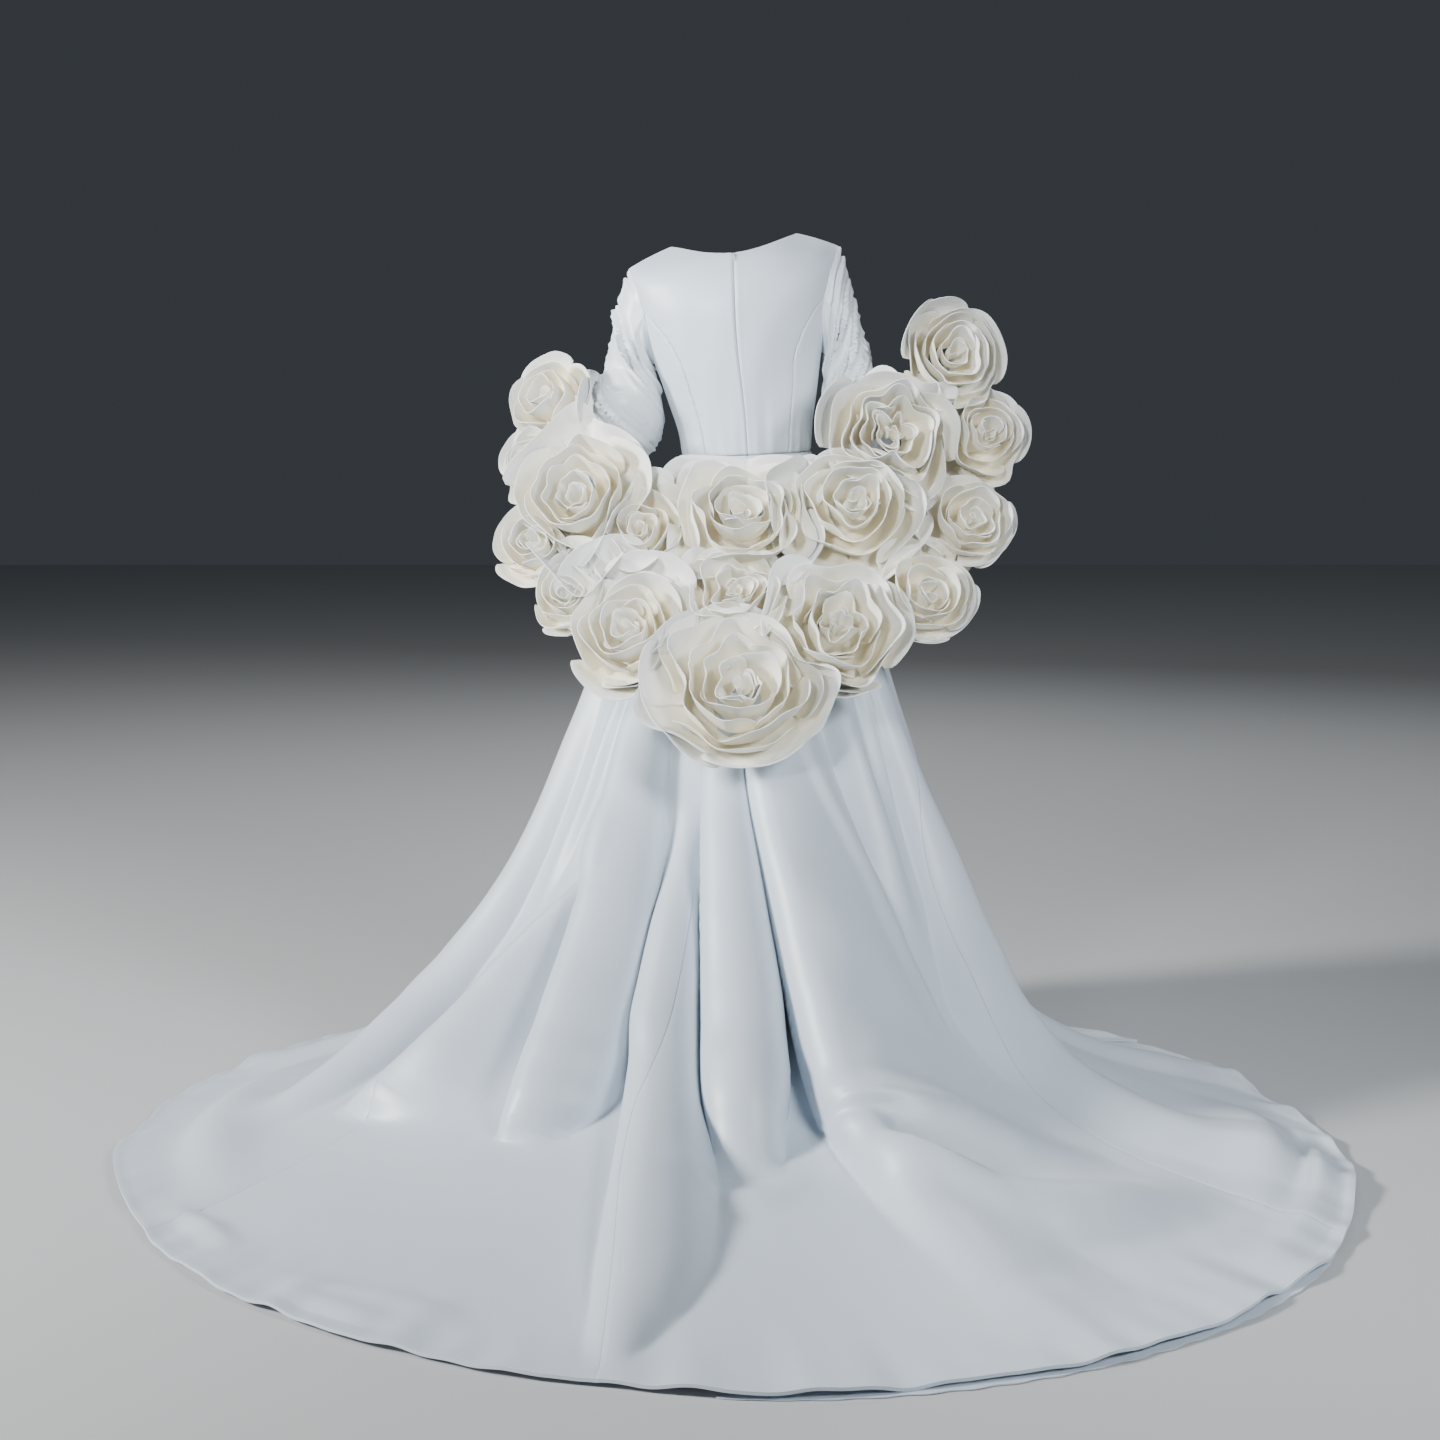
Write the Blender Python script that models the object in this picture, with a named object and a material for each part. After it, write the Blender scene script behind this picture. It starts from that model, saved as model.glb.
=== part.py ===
"""A long-sleeved satin wedding dress with a round train and a garland of fabric roses, worn and empty.

Metres, +Z up. The wearer faces -Y, so the train lies towards +Y, and +X is the wearer's left.
The shapes are worked out in floor coordinates, with the floor at z = 0 and the wearer's middle at
x = y = 0. Every object hangs on one empty, HOLD_HEIGHT lower, so the world origin is between the
shoulders, where the dress is held.

Angles round the body ("turn") are in degrees: 0 is the centre back, positive to the wearer's left.
"""

import math

import bmesh
import bpy
import numpy as np
from mathutils import Matrix, Vector
from mathutils.bvhtree import BVHTree

HOLD_HEIGHT = 1.50  # from the floor to the shoulders
CLOTH = 0.0020  # satin with its backing
PETAL_CLOTH = 0.0030
SEAM_GAP = 0.0003
ARMHOLE_GAP = 0.0005
FACING_CLOTH = 0.0015

WHITE = (0.86, 0.88, 0.90, 1.0)
IVORY = (0.93, 0.90, 0.82, 1.0)
METAL = (0.80, 0.80, 0.80, 1.0)

# ---------------------------------------------------------------- tables

# The skirt at rest, one row for each ring from the waist to the hem.
# along, height, centre_x, centre_y, half_width, half_depth
SKIRT_RINGS = np.array((
    (0.00, 1.150, -0.018, 0.000, 0.118, 0.096),
    (0.06, 1.080, -0.018, 0.005, 0.150, 0.128),
    (0.14, 0.990, -0.016, 0.012, 0.190, 0.180),
    (0.24, 0.880, -0.012, 0.022, 0.228, 0.225),
    (0.34, 0.770, -0.010, 0.035, 0.262, 0.262),
    (0.44, 0.650, -0.006, 0.055, 0.293, 0.300),
    (0.53, 0.520, -0.002, 0.085, 0.333, 0.340),
    (0.61, 0.390, 0.004, 0.125, 0.382, 0.385),
    (0.68, 0.270, 0.012, 0.165, 0.440, 0.430),
    (0.74, 0.170, 0.024, 0.210, 0.515, 0.480),
    (0.79, 0.095, 0.036, 0.260, 0.610, 0.545),
    (0.84, 0.045, 0.035, 0.330, 0.735, 0.645),
    (0.90, 0.016, 0.015, 0.420, 0.890, 0.800),
    (1.00, 0.0045, 0.000, 0.520, 1.000, 1.000),
))
TRAIN_START = 0.79  # along, where the skirt begins to lie on the floor

# How far the hem reaches from its centre: turn, reach
HEM_REACH = np.array((
    (-160, 0.950), (-128, 0.985), (-106, 0.985), (-85, 1.005), (-65, 1.025), (-45, 1.045),
    (-22, 1.062), (0, 1.065), (20, 1.040), (40, 1.020), (60, 1.010), (85, 1.035),
    (110, 1.030), (128, 1.030), (160, 0.970),
))

# Folds that run down the skirt: name, roundness, then at each station
# (along, turn, rise, spread_left, spread_right), the spreads in degrees.
FOLDS = (
    ("outer_left", 1.6, ((0.20, 74, 0, 12, 12), (0.40, 77, 0.022, 14, 14), (0.60, 79, 0.042, 13, 12),
                         (0.72, 84, 0.060, 11, 12), (0.80, 83, 0.045, 12, 10), (0.88, 84, 0, 12, 10))),
    ("left_fan", 1.4, ((0.48, 40, 0, 9, 7), (0.58, 41, 0.040, 9, 8), (0.66, 56, 0.062, 10, 14),
                       (0.73, 66, 0.068, 8, 15), (0.80, 69, 0.055, 6, 11), (0.85, 70, 0, 5, 6))),
    ("left_tube", 1.0, ((0.14, 32, 0, 8, 8), (0.30, 34, 0.030, 9, 9), (0.42, 33, 0.060, 9, 9),
                        (0.56, 31, 0.088, 8.5, 8), (0.68, 30, 0.105, 8, 7.5),
                        (0.75, 31, 0.098, 7.5, 7.5), (0.80, 33, 0.070, 6, 6), (0.835, 34, 0, 4, 4))),
    ("seam_ridge", 1.25, ((0.46, 12, 0, 8, 5), (0.54, 14, 0.035, 8, 6), (0.62, 17, 0.070, 8, 10),
                          (0.70, 17.5, 0.085, 7, 10), (0.78, 15, 0.082, 6, 10.5),
                          (0.86, 12.8, 0.062, 5, 10), (0.92, 11.4, 0.038, 4, 6.5),
                          (0.965, 10.2, 0.016, 3, 2.5), (0.985, 9.8, 0, 2, 1))),
    ("centre_pleat", 1.0, ((0.14, 4, 0, 5, 5), (0.30, 5, 0.030, 5.5, 5.5), (0.46, 5, 0.055, 6, 6),
                           (0.60, 0.6, 0.080, 7.5, 7.5), (0.70, -2.5, 0.088, 8, 8.5),
                           (0.77, -4.5, 0.078, 7.5, 7.5), (0.82, -5, 0, 5, 5))),
    ("right_panel", 1.2, ((0.14, -9, 0, 6, 14), (0.30, -7, 0.035, 6, 16), (0.46, -6.5, 0.070, 5.5, 24),
                          (0.60, -13, 0.100, 5, 30), (0.70, -18, 0.110, 5, 32),
                          (0.78, -22, 0.085, 5, 32), (0.84, -26, 0.040, 6, 30), (0.92, -28, 0, 8, 20))),
    ("right_soft", 1.8, ((0.30, -36, 0, 9, 9), (0.42, -38, 0.025, 10, 8), (0.56, -45, 0.030, 10, 8),
                         (0.66, -50, 0, 8, 8))),
    ("outer_right", 1.3, ((0.16, -54, 0, 7, 12), (0.36, -57, 0.034, 8, 14), (0.50, -64, 0.050, 9, 14),
                          (0.60, -71, 0.060, 13, 13), (0.72, -70, 0.066, 16, 12),
                          (0.79, -72, 0.050, 13, 11), (0.85, -74, 0.030, 9, 9), (0.97, -75, 0.012, 7, 7),
                          (1.00, -75, 0.008, 7, 7))),
    ("side_left", 1.5, ((0.16, 112, 0, 10, 10), (0.42, 114, 0.030, 12, 12), (0.70, 116, 0.050, 11, 11),
                        (0.88, 117, 0.020, 9, 9), (1.00, 117, 0.010, 8, 8))),
    ("side_right", 1.5, ((0.16, -106, 0, 10, 10), (0.42, -108, 0.028, 12, 12), (0.70, -110, 0.045, 11, 11),
                         (0.88, -112, 0.020, 9, 9), (1.00, -112, 0.010, 8, 8))),
    ("front_left", 1.4, ((0.18, 146, 0, 9, 9), (0.42, 147, 0.032, 11, 11), (0.72, 148, 0.048, 10, 10),
                         (1.00, 149, 0.020, 8, 8))),
    ("front_right", 1.4, ((0.18, -141, 0, 9, 9), (0.42, -143, 0.030, 11, 11), (0.72, -144, 0.046, 10, 10),
                          (1.00, -145, 0.020, 8, 8))),
    ("front_middle", 1.5, ((0.24, 176, 0, 8, 8), (0.50, 176, 0.022, 10, 10), (0.74, 177, 0.036, 9, 9),
                           (1.00, 178, 0.016, 7, 7))),
)

# Ripples that lie across the train: name, roundness, then at each station
# (turn, along, rise, spread_up, spread_down), the spreads in units of along.
RIPPLES = (
    ("near", 1.5, ((-58, 0.855, 0, 0.03, 0.03), (-48, 0.828, 0.018, 0.03, 0.035),
                   (-34, 0.795, 0.030, 0.03, 0.03), (-24, 0.775, 0.025, 0.025, 0.025),
                   (-17, 0.765, 0, 0.02, 0.02))),
    ("middle", 1.6, ((-62, 0.888, 0, 0.03, 0.03), (-50, 0.882, 0.020, 0.03, 0.03),
                     (-36, 0.868, 0.024, 0.025, 0.03), (-26, 0.835, 0.018, 0.025, 0.03),
                     (-20, 0.820, 0, 0.02, 0.03))),
    ("far", 1.6, ((-95, 0.900, 0, 0.04, 0.04), (-84, 0.900, 0.025, 0.04, 0.04),
                  (-74, 0.905, 0.020, 0.03, 0.04), (-60, 0.920, 0, 0.03, 0.04))),
    ("left", 1.8, ((62, 0.900, 0, 0.03, 0.04), (80, 0.885, 0.022, 0.035, 0.04),
                   (96, 0.870, 0.020, 0.035, 0.04), (110, 0.860, 0, 0.03, 0.04))),
)

# The centre-back seam leaves the zip and follows a fold to the hem: along, turn
BACK_SEAM = np.array(((0.00, 0), (0.20, 5), (0.45, 11), (0.55, 12), (1.00, 10.5)))
SIDE_SEAMS = (62, 128)  # turn of the seams at the sides, the same left and right

# The torso, one row for each ring from the waist to the top of the shoulders.
# up, height, centre_x, half_width, back_depth, front_depth, shoulder_drop, tilt
TORSO_RINGS = np.array((
    (0.00, 1.1503, -0.018, 0.118, 0.096, 0.096, 0.000, -0.047),
    (0.14, 1.200, -0.015, 0.124, 0.101, 0.108, 0.000, -0.055),
    (0.30, 1.262, -0.009, 0.138, 0.108, 0.122, 0.000, -0.065),
    (0.46, 1.325, -0.001, 0.153, 0.114, 0.130, 0.000, -0.078),
    (0.60, 1.385, 0.004, 0.166, 0.117, 0.125, 0.000, -0.090),
    (0.74, 1.440, 0.006, 0.180, 0.112, 0.108, 0.004, -0.100),
    (0.86, 1.486, 0.007, 0.188, 0.094, 0.084, 0.014, -0.107),
    (0.94, 1.518, 0.007, 0.191, 0.062, 0.056, 0.028, -0.107),
    (1.00, 1.557, 0.007, 0.193, 0.000, 0.000, 0.049, -0.107),
))
# The edge where a princess seam runs up into the armhole and on to the shoulder: up, turn
PRINCESS_EDGE = np.array((
    (0.00, 40), (0.30, 42), (0.46, 43), (0.56, 50), (0.64, 60), (0.70, 68), (0.78, 69),
    (0.90, 73), (1.00, 80),
))
UNDERARM = 0.47  # up, where side seam and armhole meet
PRINCESS_TOP = 0.70
# The armhole between underarm and princess seam: up, turn
ARMHOLE_EDGE = np.array(((0.47, 90), (0.52, 82), (0.58, 74), (0.70, 68)))
BACK_NECK, FRONT_NECK = 0.930, 0.895  # up, at the middle of the neckline
NECK_CORNER = 0.455  # share of a centre panel's width where neckline and shoulder seam meet
BUST_RISE, BUST_TURN, BUST_UP = 0.020, 36, 0.50

# Sleeves, from below the armhole to the cuff: x, y, z, radius
SLEEVE_PATHS = {
    "sleeve_left": ((0.197, 0.002, 1.300, 0.046), (0.199, 0.006, 1.272, 0.058),
                    (0.199, 0.008, 1.240, 0.064), (0.196, -0.006, 1.206, 0.062),
                    (0.204, -0.042, 1.184, 0.054), (0.226, -0.090, 1.196, 0.046),
                    (0.250, -0.140, 1.222, 0.041), (0.272, -0.185, 1.252, 0.037),
                    (0.292, -0.222, 1.282, 0.033)),
    "sleeve_right": ((-0.202, 0.004, 1.310, 0.043), (-0.206, 0.008, 1.280, 0.045),
                     (-0.209, 0.010, 1.250, 0.047), (-0.214, 0.006, 1.220, 0.049),
                     (-0.236, -0.008, 1.204, 0.046), (-0.280, -0.026, 1.216, 0.042),
                     (-0.335, -0.044, 1.246, 0.039), (-0.390, -0.056, 1.280, 0.036),
                     (-0.440, -0.062, 1.312, 0.033)),
}
RUCHE_DEPTH = 0.0035
RINGS_BETWEEN = 2  # sleeve rings for each row of its path
PARTED_ROW = 2  # of a sleeve's path, above the elbow: forearm and upper arm are parted there
CAP_RINGS = 5  # rings between the armhole and the first row
CAP_OUT, CAP_ROUND, CAP_DROP = 0.008, 0.016, 0.028  # how the sleeve head rounds out of the armhole

# The garland's backing lies over the crests of the skirt's folds, then swings out to the forearms.
# across, turn, top_along, bottom_along, out_x, out_y, out_z
BAND = np.array((
    (-1.00, -74, 0.010, 0.190, -0.255, -0.020, 0.215),
    (-0.80, -69, 0.020, 0.290, -0.215, 0.000, 0.150),
    (-0.60, -54, 0.030, 0.360, -0.135, 0.020, 0.060),
    (-0.40, -37, 0.035, 0.410, -0.050, 0.020, 0.010),
    (-0.20, -18, 0.035, 0.440, -0.006, 0.004, 0.000),
    (0.00, 0, 0.035, 0.455, 0.000, 0.000, 0.000),
    (0.20, 18, 0.035, 0.440, 0.006, 0.004, 0.000),
    (0.40, 37, 0.035, 0.400, 0.040, 0.020, 0.000),
    (0.60, 54, 0.030, 0.340, 0.110, 0.020, 0.030),
    (0.80, 68, 0.020, 0.280, 0.165, 0.000, 0.090),
    (1.00, 74, 0.010, 0.190, 0.200, -0.040, 0.140),
))
BAND_CLOTH = 0.0020
BAND_CLEAR = 0.0010  # from the crests of the folds to the backing

# Roses on the band: name, across, down, radius, height, spin
ROSES = (
    ("rose_left_top", 1.000, 0.217, 0.095, 0.080, 20),
    ("rose_left_large", 0.650, 0.315, 0.143, 0.100, 75),
    ("rose_left_small", 0.450, 0.295, 0.088, 0.080, 140),
    ("rose_centre_top", 0.038, 0.197, 0.120, 0.090, 250),
    ("rose_right_centre", -0.450, 0.217, 0.124, 0.090, 10),
    ("rose_right_large", -0.600, 0.040, 0.125, 0.095, 100),
    ("rose_right_top", -0.912, 0.040, 0.105, 0.085, 305),
    ("rose_right_outer", -0.887, 0.512, 0.090, 0.075, 200),
    ("rose_right_lower_outer", -0.700, 0.630, 0.085, 0.070, 60),
    ("rose_right_low", -0.537, 0.708, 0.091, 0.070, 170),
    ("rose_lower_right", -0.300, 0.689, 0.124, 0.090, 330),
    ("rose_bottom", 0.012, 0.866, 0.149, 0.095, 40),
    ("rose_centre_middle", 0.038, 0.492, 0.087, 0.070, 215),
    ("rose_lower_left", 0.363, 0.728, 0.112, 0.085, 120),
    ("rose_left_low", 0.562, 0.728, 0.074, 0.065, 290),
    ("rose_left_side", 0.725, 0.708, 0.080, 0.065, 15),
    ("rose_left_middle", 0.938, 0.551, 0.069, 0.060, 95),
)
ROSE_SPOKES = 10  # points of a spiral's turn
ROSE_GAP = 0.0012  # half the room between two neighbouring roses
ROSE_HEART = 0.16  # of its radius, where the spiral starts
ROSE_RIM = 0.80  # of its radius, where the last petal's edge is
PETAL_DEPTH = 0.20  # of its radius, from a petal's edge down to the groove behind it
ROSE_CLEAR = 0.0060  # from the backing's face to the rim, before the rose is let down
RIM_DROOP = 0.030  # how far a rim hangs back to follow the backing
ROSE_SEAT = 0.0005  # what is left between rose and backing where it sits

# The zip's slider and pull, in metres from the slider's middle: across the seam, down it, out of it
SLIDER_DOWN = 0.0080  # from the neck edge
SLIDER_HALF_TOP, SLIDER_HALF_FOOT, SLIDER_HALF_LONG = 0.0034, 0.0026, 0.0045
SLIDER_DEEP = 0.0018
BRIDGE_HALF_WIDE, BRIDGE_HALF_LONG, BRIDGE_LEG = 0.0009, 0.0035, 0.0010
BRIDGE_CLEAR, BRIDGE_THICK = 0.0022, 0.0009
PULL_BAR = 0.0011  # thickness of the tab and of its bar under the bridge
PULL_HALF_WIDE, PULL_EYE_HALF, PULL_EYE_END, PULL_LONG = 0.0023, 0.0014, 0.0046, 0.0150


# ---------------------------------------------------------------- curves through tables

def smooth(stations, values, at):
    """A smooth curve through a table's values, read at any number of places."""
    stations, values = np.asarray(stations, float), np.asarray(values, float)
    step = np.diff(stations)
    rise = np.diff(values) / step
    slope = np.empty(len(stations))
    slope[0], slope[-1] = rise[0], rise[-1]
    slope[1:-1] = (rise[:-1] * step[1:] + rise[1:] * step[:-1]) / (step[:-1] + step[1:])
    at = np.clip(at, stations[0], stations[-1])
    i = np.clip(np.searchsorted(stations, at, side="right") - 1, 0, len(step) - 1)
    t = (at - stations[i]) / step[i]
    start, end = values[i], values[i + 1]
    leave, arrive = slope[i] * step[i], slope[i + 1] * step[i]
    square = 3 * (end - start) - 2 * leave - arrive
    cube = 2 * (start - end) + leave + arrive
    return start + t * (leave + t * (square + t * cube))


def smooth_round(angles, values, at):
    """The same, for values that repeat every 360 degrees."""
    angles = np.concatenate([angles[-2:] - 360, angles, angles[:2] + 360])
    values = np.concatenate([values[-2:], values, values[:2]])
    return smooth(angles, values, (at + 180) % 360 - 180)


def columns(table, at):
    """Every column of a table after its first, read at the same places."""
    return [smooth(table[:, 0], table[:, k], at) for k in range(1, table.shape[1])]


def normal_of(surface, turn, up):
    """The outward normal of a surface given by turn in degrees and up or along."""
    across = surface(turn + 0.05, up) - surface(turn - 0.05, up)
    down = surface(turn, np.minimum(up + 0.001, 1.0)) - surface(turn, np.maximum(up - 0.001, 0.0))
    normal = np.cross(across, down)
    return normal / np.linalg.norm(normal, axis=-1, keepdims=True)


# ---------------------------------------------------------------- meshes

def new_material(name, color, roughness, metallic=0.0):
    material = bpy.data.materials.new(name)
    material.use_nodes = True
    shader = material.node_tree.nodes["Principled BSDF"]
    shader.inputs["Base Color"].default_value = color
    shader.inputs["Roughness"].default_value = roughness
    shader.inputs["Metallic"].default_value = metallic
    return material


def new_object(name, mesh, material):
    """One part of the dress, hung on the empty between the shoulders."""
    obj = bpy.data.objects.new(name, mesh)
    mesh.materials.append(new_material(name, *material))
    parts.objects.link(obj)
    obj.parent = hold
    return obj


def cloth_wall(name, outer, inner, material, round_about=False):
    """A wall of cloth between two grids of points. round_about joins its last column to its first."""
    rows, cols = outer.shape[:2]
    form = bmesh.new()
    layers = [[[form.verts.new(point) for point in row] for row in grid] for grid in (outer, inner)]
    out, back = layers
    spans = range(cols if round_about else cols - 1)
    for r in range(rows - 1):
        for c in spans:
            d = (c + 1) % cols
            form.faces.new((out[r][c], out[r + 1][c], out[r + 1][d], out[r][d]))
            form.faces.new((back[r][c], back[r][d], back[r + 1][d], back[r + 1][c]))
    for c in spans:
        d = (c + 1) % cols
        form.faces.new((out[0][c], out[0][d], back[0][d], back[0][c]))
        form.faces.new((out[-1][c], back[-1][c], back[-1][d], out[-1][d]))
    if not round_about:
        for r in range(rows - 1):
            form.faces.new((out[r][0], back[r][0], back[r + 1][0], out[r + 1][0]))
            form.faces.new((out[r][-1], out[r + 1][-1], back[r + 1][-1], back[r][-1]))
    bmesh.ops.recalc_face_normals(form, faces=form.faces)
    mesh = bpy.data.meshes.new(name)
    form.to_mesh(mesh)
    form.free()
    mesh.shade_smooth()
    mesh.set_sharp_from_angle(angle=math.radians(60))
    return new_object(name, mesh, material)


# ---------------------------------------------------------------- skirt

def skirt_base(turn, along):
    """The skirt without its folds: a bell from the waist that spreads into a round train."""
    height, centre_x, centre_y, wide, deep = columns(SKIRT_RINGS, along)
    angle = np.radians(turn)
    side, behind = np.sin(angle), np.cos(angle)
    reach = 1 / np.sqrt((side / wide) ** 2 + (behind / deep) ** 2)
    laid = np.clip((along - TRAIN_START) / (1 - TRAIN_START), 0, 1) ** 1.3
    reach = reach * (1 + laid * (smooth_round(HEM_REACH[:, 0], HEM_REACH[:, 1], turn) - 1))
    waist_tilt = TORSO_RINGS[0, 7] * np.clip(1 - along / 0.2, 0, 1)
    height = height + waist_tilt * reach * side
    return np.stack([centre_x + reach * side, centre_y + reach * behind, height], -1)


def bump(offset, roundness):
    return np.cos(math.pi / 2 * np.clip(np.abs(offset), 0, 1)) ** roundness


def fold_rise(turn, along):
    """How far the folds and ripples lift the skirt off its plain shape."""
    total = np.zeros(np.broadcast(turn, along).shape)
    for _, roundness, stations in FOLDS:
        table = np.array(stations, float)
        middle, rise, left, right = columns(table, along)
        rise = np.where((along > table[0, 0]) & (along <= table[-1, 0]), np.maximum(rise, 0), 0)
        offset = (turn - middle + 180) % 360 - 180
        total = total + rise * bump(offset / np.where(offset > 0, left, right), roundness)
    for _, roundness, stations in RIPPLES:
        table = np.array(stations, float)
        middle, rise, up, down = columns(table, turn)
        rise = np.where((turn > table[0, 0]) & (turn < table[-1, 0]), np.maximum(rise, 0), 0)
        offset = along - middle
        total = total + rise * bump(offset / np.where(offset < 0, up, down), roundness)
    return total


def skirt_surface(turn, along):
    turn, along = np.broadcast_arrays(np.asarray(turn, float), np.asarray(along, float))
    lift = fold_rise(turn, along)[..., None]
    return skirt_base(turn, along) + normal_of(skirt_base, turn, along) * lift


def skirt_wall(turn, along, out=0.0, thick=CLOTH):
    """Outer and inner points of cloth that follows the skirt, moved out from it."""
    normal = normal_of(skirt_surface, turn, along)
    outer = skirt_surface(turn, along) + normal * out
    return outer, outer - normal * thick


ALONG_ROWS = np.array((0, 0.06, 0.14, 0.22, 0.30, 0.38, 0.46, 0.53, 0.59, 0.645, 0.695, 0.74, 0.775,
                       0.805, 0.84, 0.88, 0.92, 0.96, 1.0))


def gore_edge(seam, along, side):
    """The turn of a seam, held half a seam gap back on one side of it."""
    turn = smooth(BACK_SEAM[:, 0], BACK_SEAM[:, 1], along) if seam == "back" else seam + 0 * along
    centre = np.stack(columns(SKIRT_RINGS, along)[1:3], -1)
    reach = np.linalg.norm(skirt_base(turn, along)[..., :2] - centre, axis=-1)
    return turn + side * np.degrees(SEAM_GAP * 0.6 / reach)


def make_skirt():
    side_in, side_out = SIDE_SEAMS
    gores = (
        # name, seam on the wearer's right, seam on their left, columns
        ("skirt_back_left", "back", side_in, 27),
        ("skirt_side_left", side_in, side_out, 11),
        ("skirt_front", side_out, 360 - side_out, 12),
        ("skirt_side_right", -side_out, -side_in, 11),
        ("skirt_back_right", -side_in, "back", 35),
    )
    along = ALONG_ROWS
    for name, first, last, count in gores:
        low, high = gore_edge(first, along, 1), gore_edge(last, along, -1)
        share = np.linspace(0, 1, count + 1)
        turn = low[:, None] + (high - low)[:, None] * share
        rows = np.repeat(along[:, None], count + 1, axis=1)
        outer, inner = skirt_wall(turn, rows)
        cloth_wall(name, outer, inner, (WHITE, 0.35))


def make_hem_facing():
    """The edge of the facing, which shows under the train on the wearer's right."""
    turn = np.linspace(-58, 2, 25)
    rows = []
    for out, height in ((0.010, 0.0019), (-0.025, 0.0022)):
        edge = skirt_base(turn, np.ones_like(turn))
        centre = np.append(SKIRT_RINGS[-1, 2:4], 0)
        away = edge - centre
        away[:, 2] = 0
        away /= np.linalg.norm(away, axis=-1, keepdims=True)
        edge = edge + away * (out * np.sin(np.linspace(0, math.pi, len(turn))) ** 0.5)[:, None]
        edge[:, 2] = height
        rows.append(edge)
    outer = np.array(rows)
    cloth_wall("hem_facing", outer, outer - np.array((0, 0, FACING_CLOTH)), (WHITE, 0.4))


# ---------------------------------------------------------------- bodice

def torso(turn, up):
    """The fitted body of the dress. turn is 0 at the centre back and 180 at the centre front."""
    turn, up = np.broadcast_arrays(np.asarray(turn, float), np.asarray(up, float))
    height, centre_x, wide, back, front, drop, tilt = columns(TORSO_RINGS, up)
    side, behind = np.sin(np.radians(turn)), np.cos(np.radians(turn))
    from_front = np.abs((turn % 360) - 180)
    bust = BUST_RISE * np.exp(-((from_front - BUST_TURN) / 22) ** 2 - ((up - BUST_UP) / 0.17) ** 2)
    deep = np.where(behind > 0, back, front + bust)
    across = wide * side
    return np.stack([centre_x + across, deep * behind, height - drop * side ** 2 + tilt * across], -1)


def torso_wall(turn, up):
    normal = -normal_of(torso, turn, up)
    shoulder = up >= 1
    normal[shoulder, 1] = 0
    normal /= np.linalg.norm(normal, axis=-1, keepdims=True)
    outer = torso(turn, up)
    outer[shoulder, 1] += np.where(np.cos(np.radians(turn[shoulder])) > 0, 1, -1) * SEAM_GAP / 2
    return outer, outer - normal * CLOTH


SEAM_UP = np.array((0, 0.14, 0.28, 0.40, 0.50, 0.60, PRINCESS_TOP))
ARM_UP = np.array((0.78, 0.86, 0.93, 1.0))
CENTRE_SHARES = np.array((0, 0.15, 0.30, NECK_CORNER, 0.64, 0.82, 1.0))
SIDE_SHARES = np.linspace(0, 1, 4)
HALF_GAP_TURN = 0.08  # degrees that hold a panel's edge half a seam gap back


def on_side(turn, front, left):
    """A turn from the centre line of the back or the front, for the chosen quarter of the body."""
    turn = 180 - turn if front else turn
    return turn if left else -turn


def centre_panel(front, left):
    """The quarter from the centre line to the princess seam, as (turn, up)."""
    up_edge = np.concatenate([SEAM_UP, ARM_UP])
    neck = FRONT_NECK if front else BACK_NECK
    to_corner = np.clip(CENTRE_SHARES / NECK_CORNER, 0, 1)
    top = neck + (1 - neck) * to_corner ** 1.6
    up = up_edge[:, None] * top
    reach = smooth(PRINCESS_EDGE[:, 0], PRINCESS_EDGE[:, 1], up_edge) - HALF_GAP_TURN
    inset = 0 if front else HALF_GAP_TURN
    turn = inset + (reach[:, None] - inset) * CENTRE_SHARES
    return on_side(turn, front, left), up


def side_panel(front, left):
    """The quarter from the princess seam to the side seam, as (turn, up)."""
    start_turn = smooth(PRINCESS_EDGE[:, 0], PRINCESS_EDGE[:, 1], SEAM_UP) + HALF_GAP_TURN
    end_up = SEAM_UP * (UNDERARM / PRINCESS_TOP)
    turn = start_turn[:, None] + (90 - HALF_GAP_TURN - start_turn)[:, None] * SIDE_SHARES
    up = SEAM_UP[:, None] + (end_up - SEAM_UP)[:, None] * SIDE_SHARES
    hollow = smooth(ARMHOLE_EDGE[:, 0], ARMHOLE_EDGE[:, 1], up[-1]) - turn[-1]
    hollow[0] = hollow[-1] = 0
    turn = turn + hollow * (SEAM_UP / PRINCESS_TOP)[:, None] ** 3
    return on_side(turn, front, left), up


def make_bodice():
    satin = (WHITE, 0.35)
    for side, left in (("left", True), ("right", False)):
        for name, front in (("bodice_side_back_", False), ("bodice_side_front_", True)):
            cloth_wall(name + side, *torso_wall(*side_panel(front, left)), satin)
        cloth_wall("bodice_back_" + side, *torso_wall(*centre_panel(False, left)), satin)
    left_turn, up = centre_panel(True, True)
    right_turn, _ = centre_panel(True, False)
    turn = np.concatenate([left_turn[:, ::-1], right_turn[:, 1:] + 360], axis=1)
    up = np.concatenate([up[:, ::-1], up[:, 1:]], axis=1)
    cloth_wall("bodice_front", *torso_wall(turn, up), satin)


# ---------------------------------------------------------------- sleeves

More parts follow.
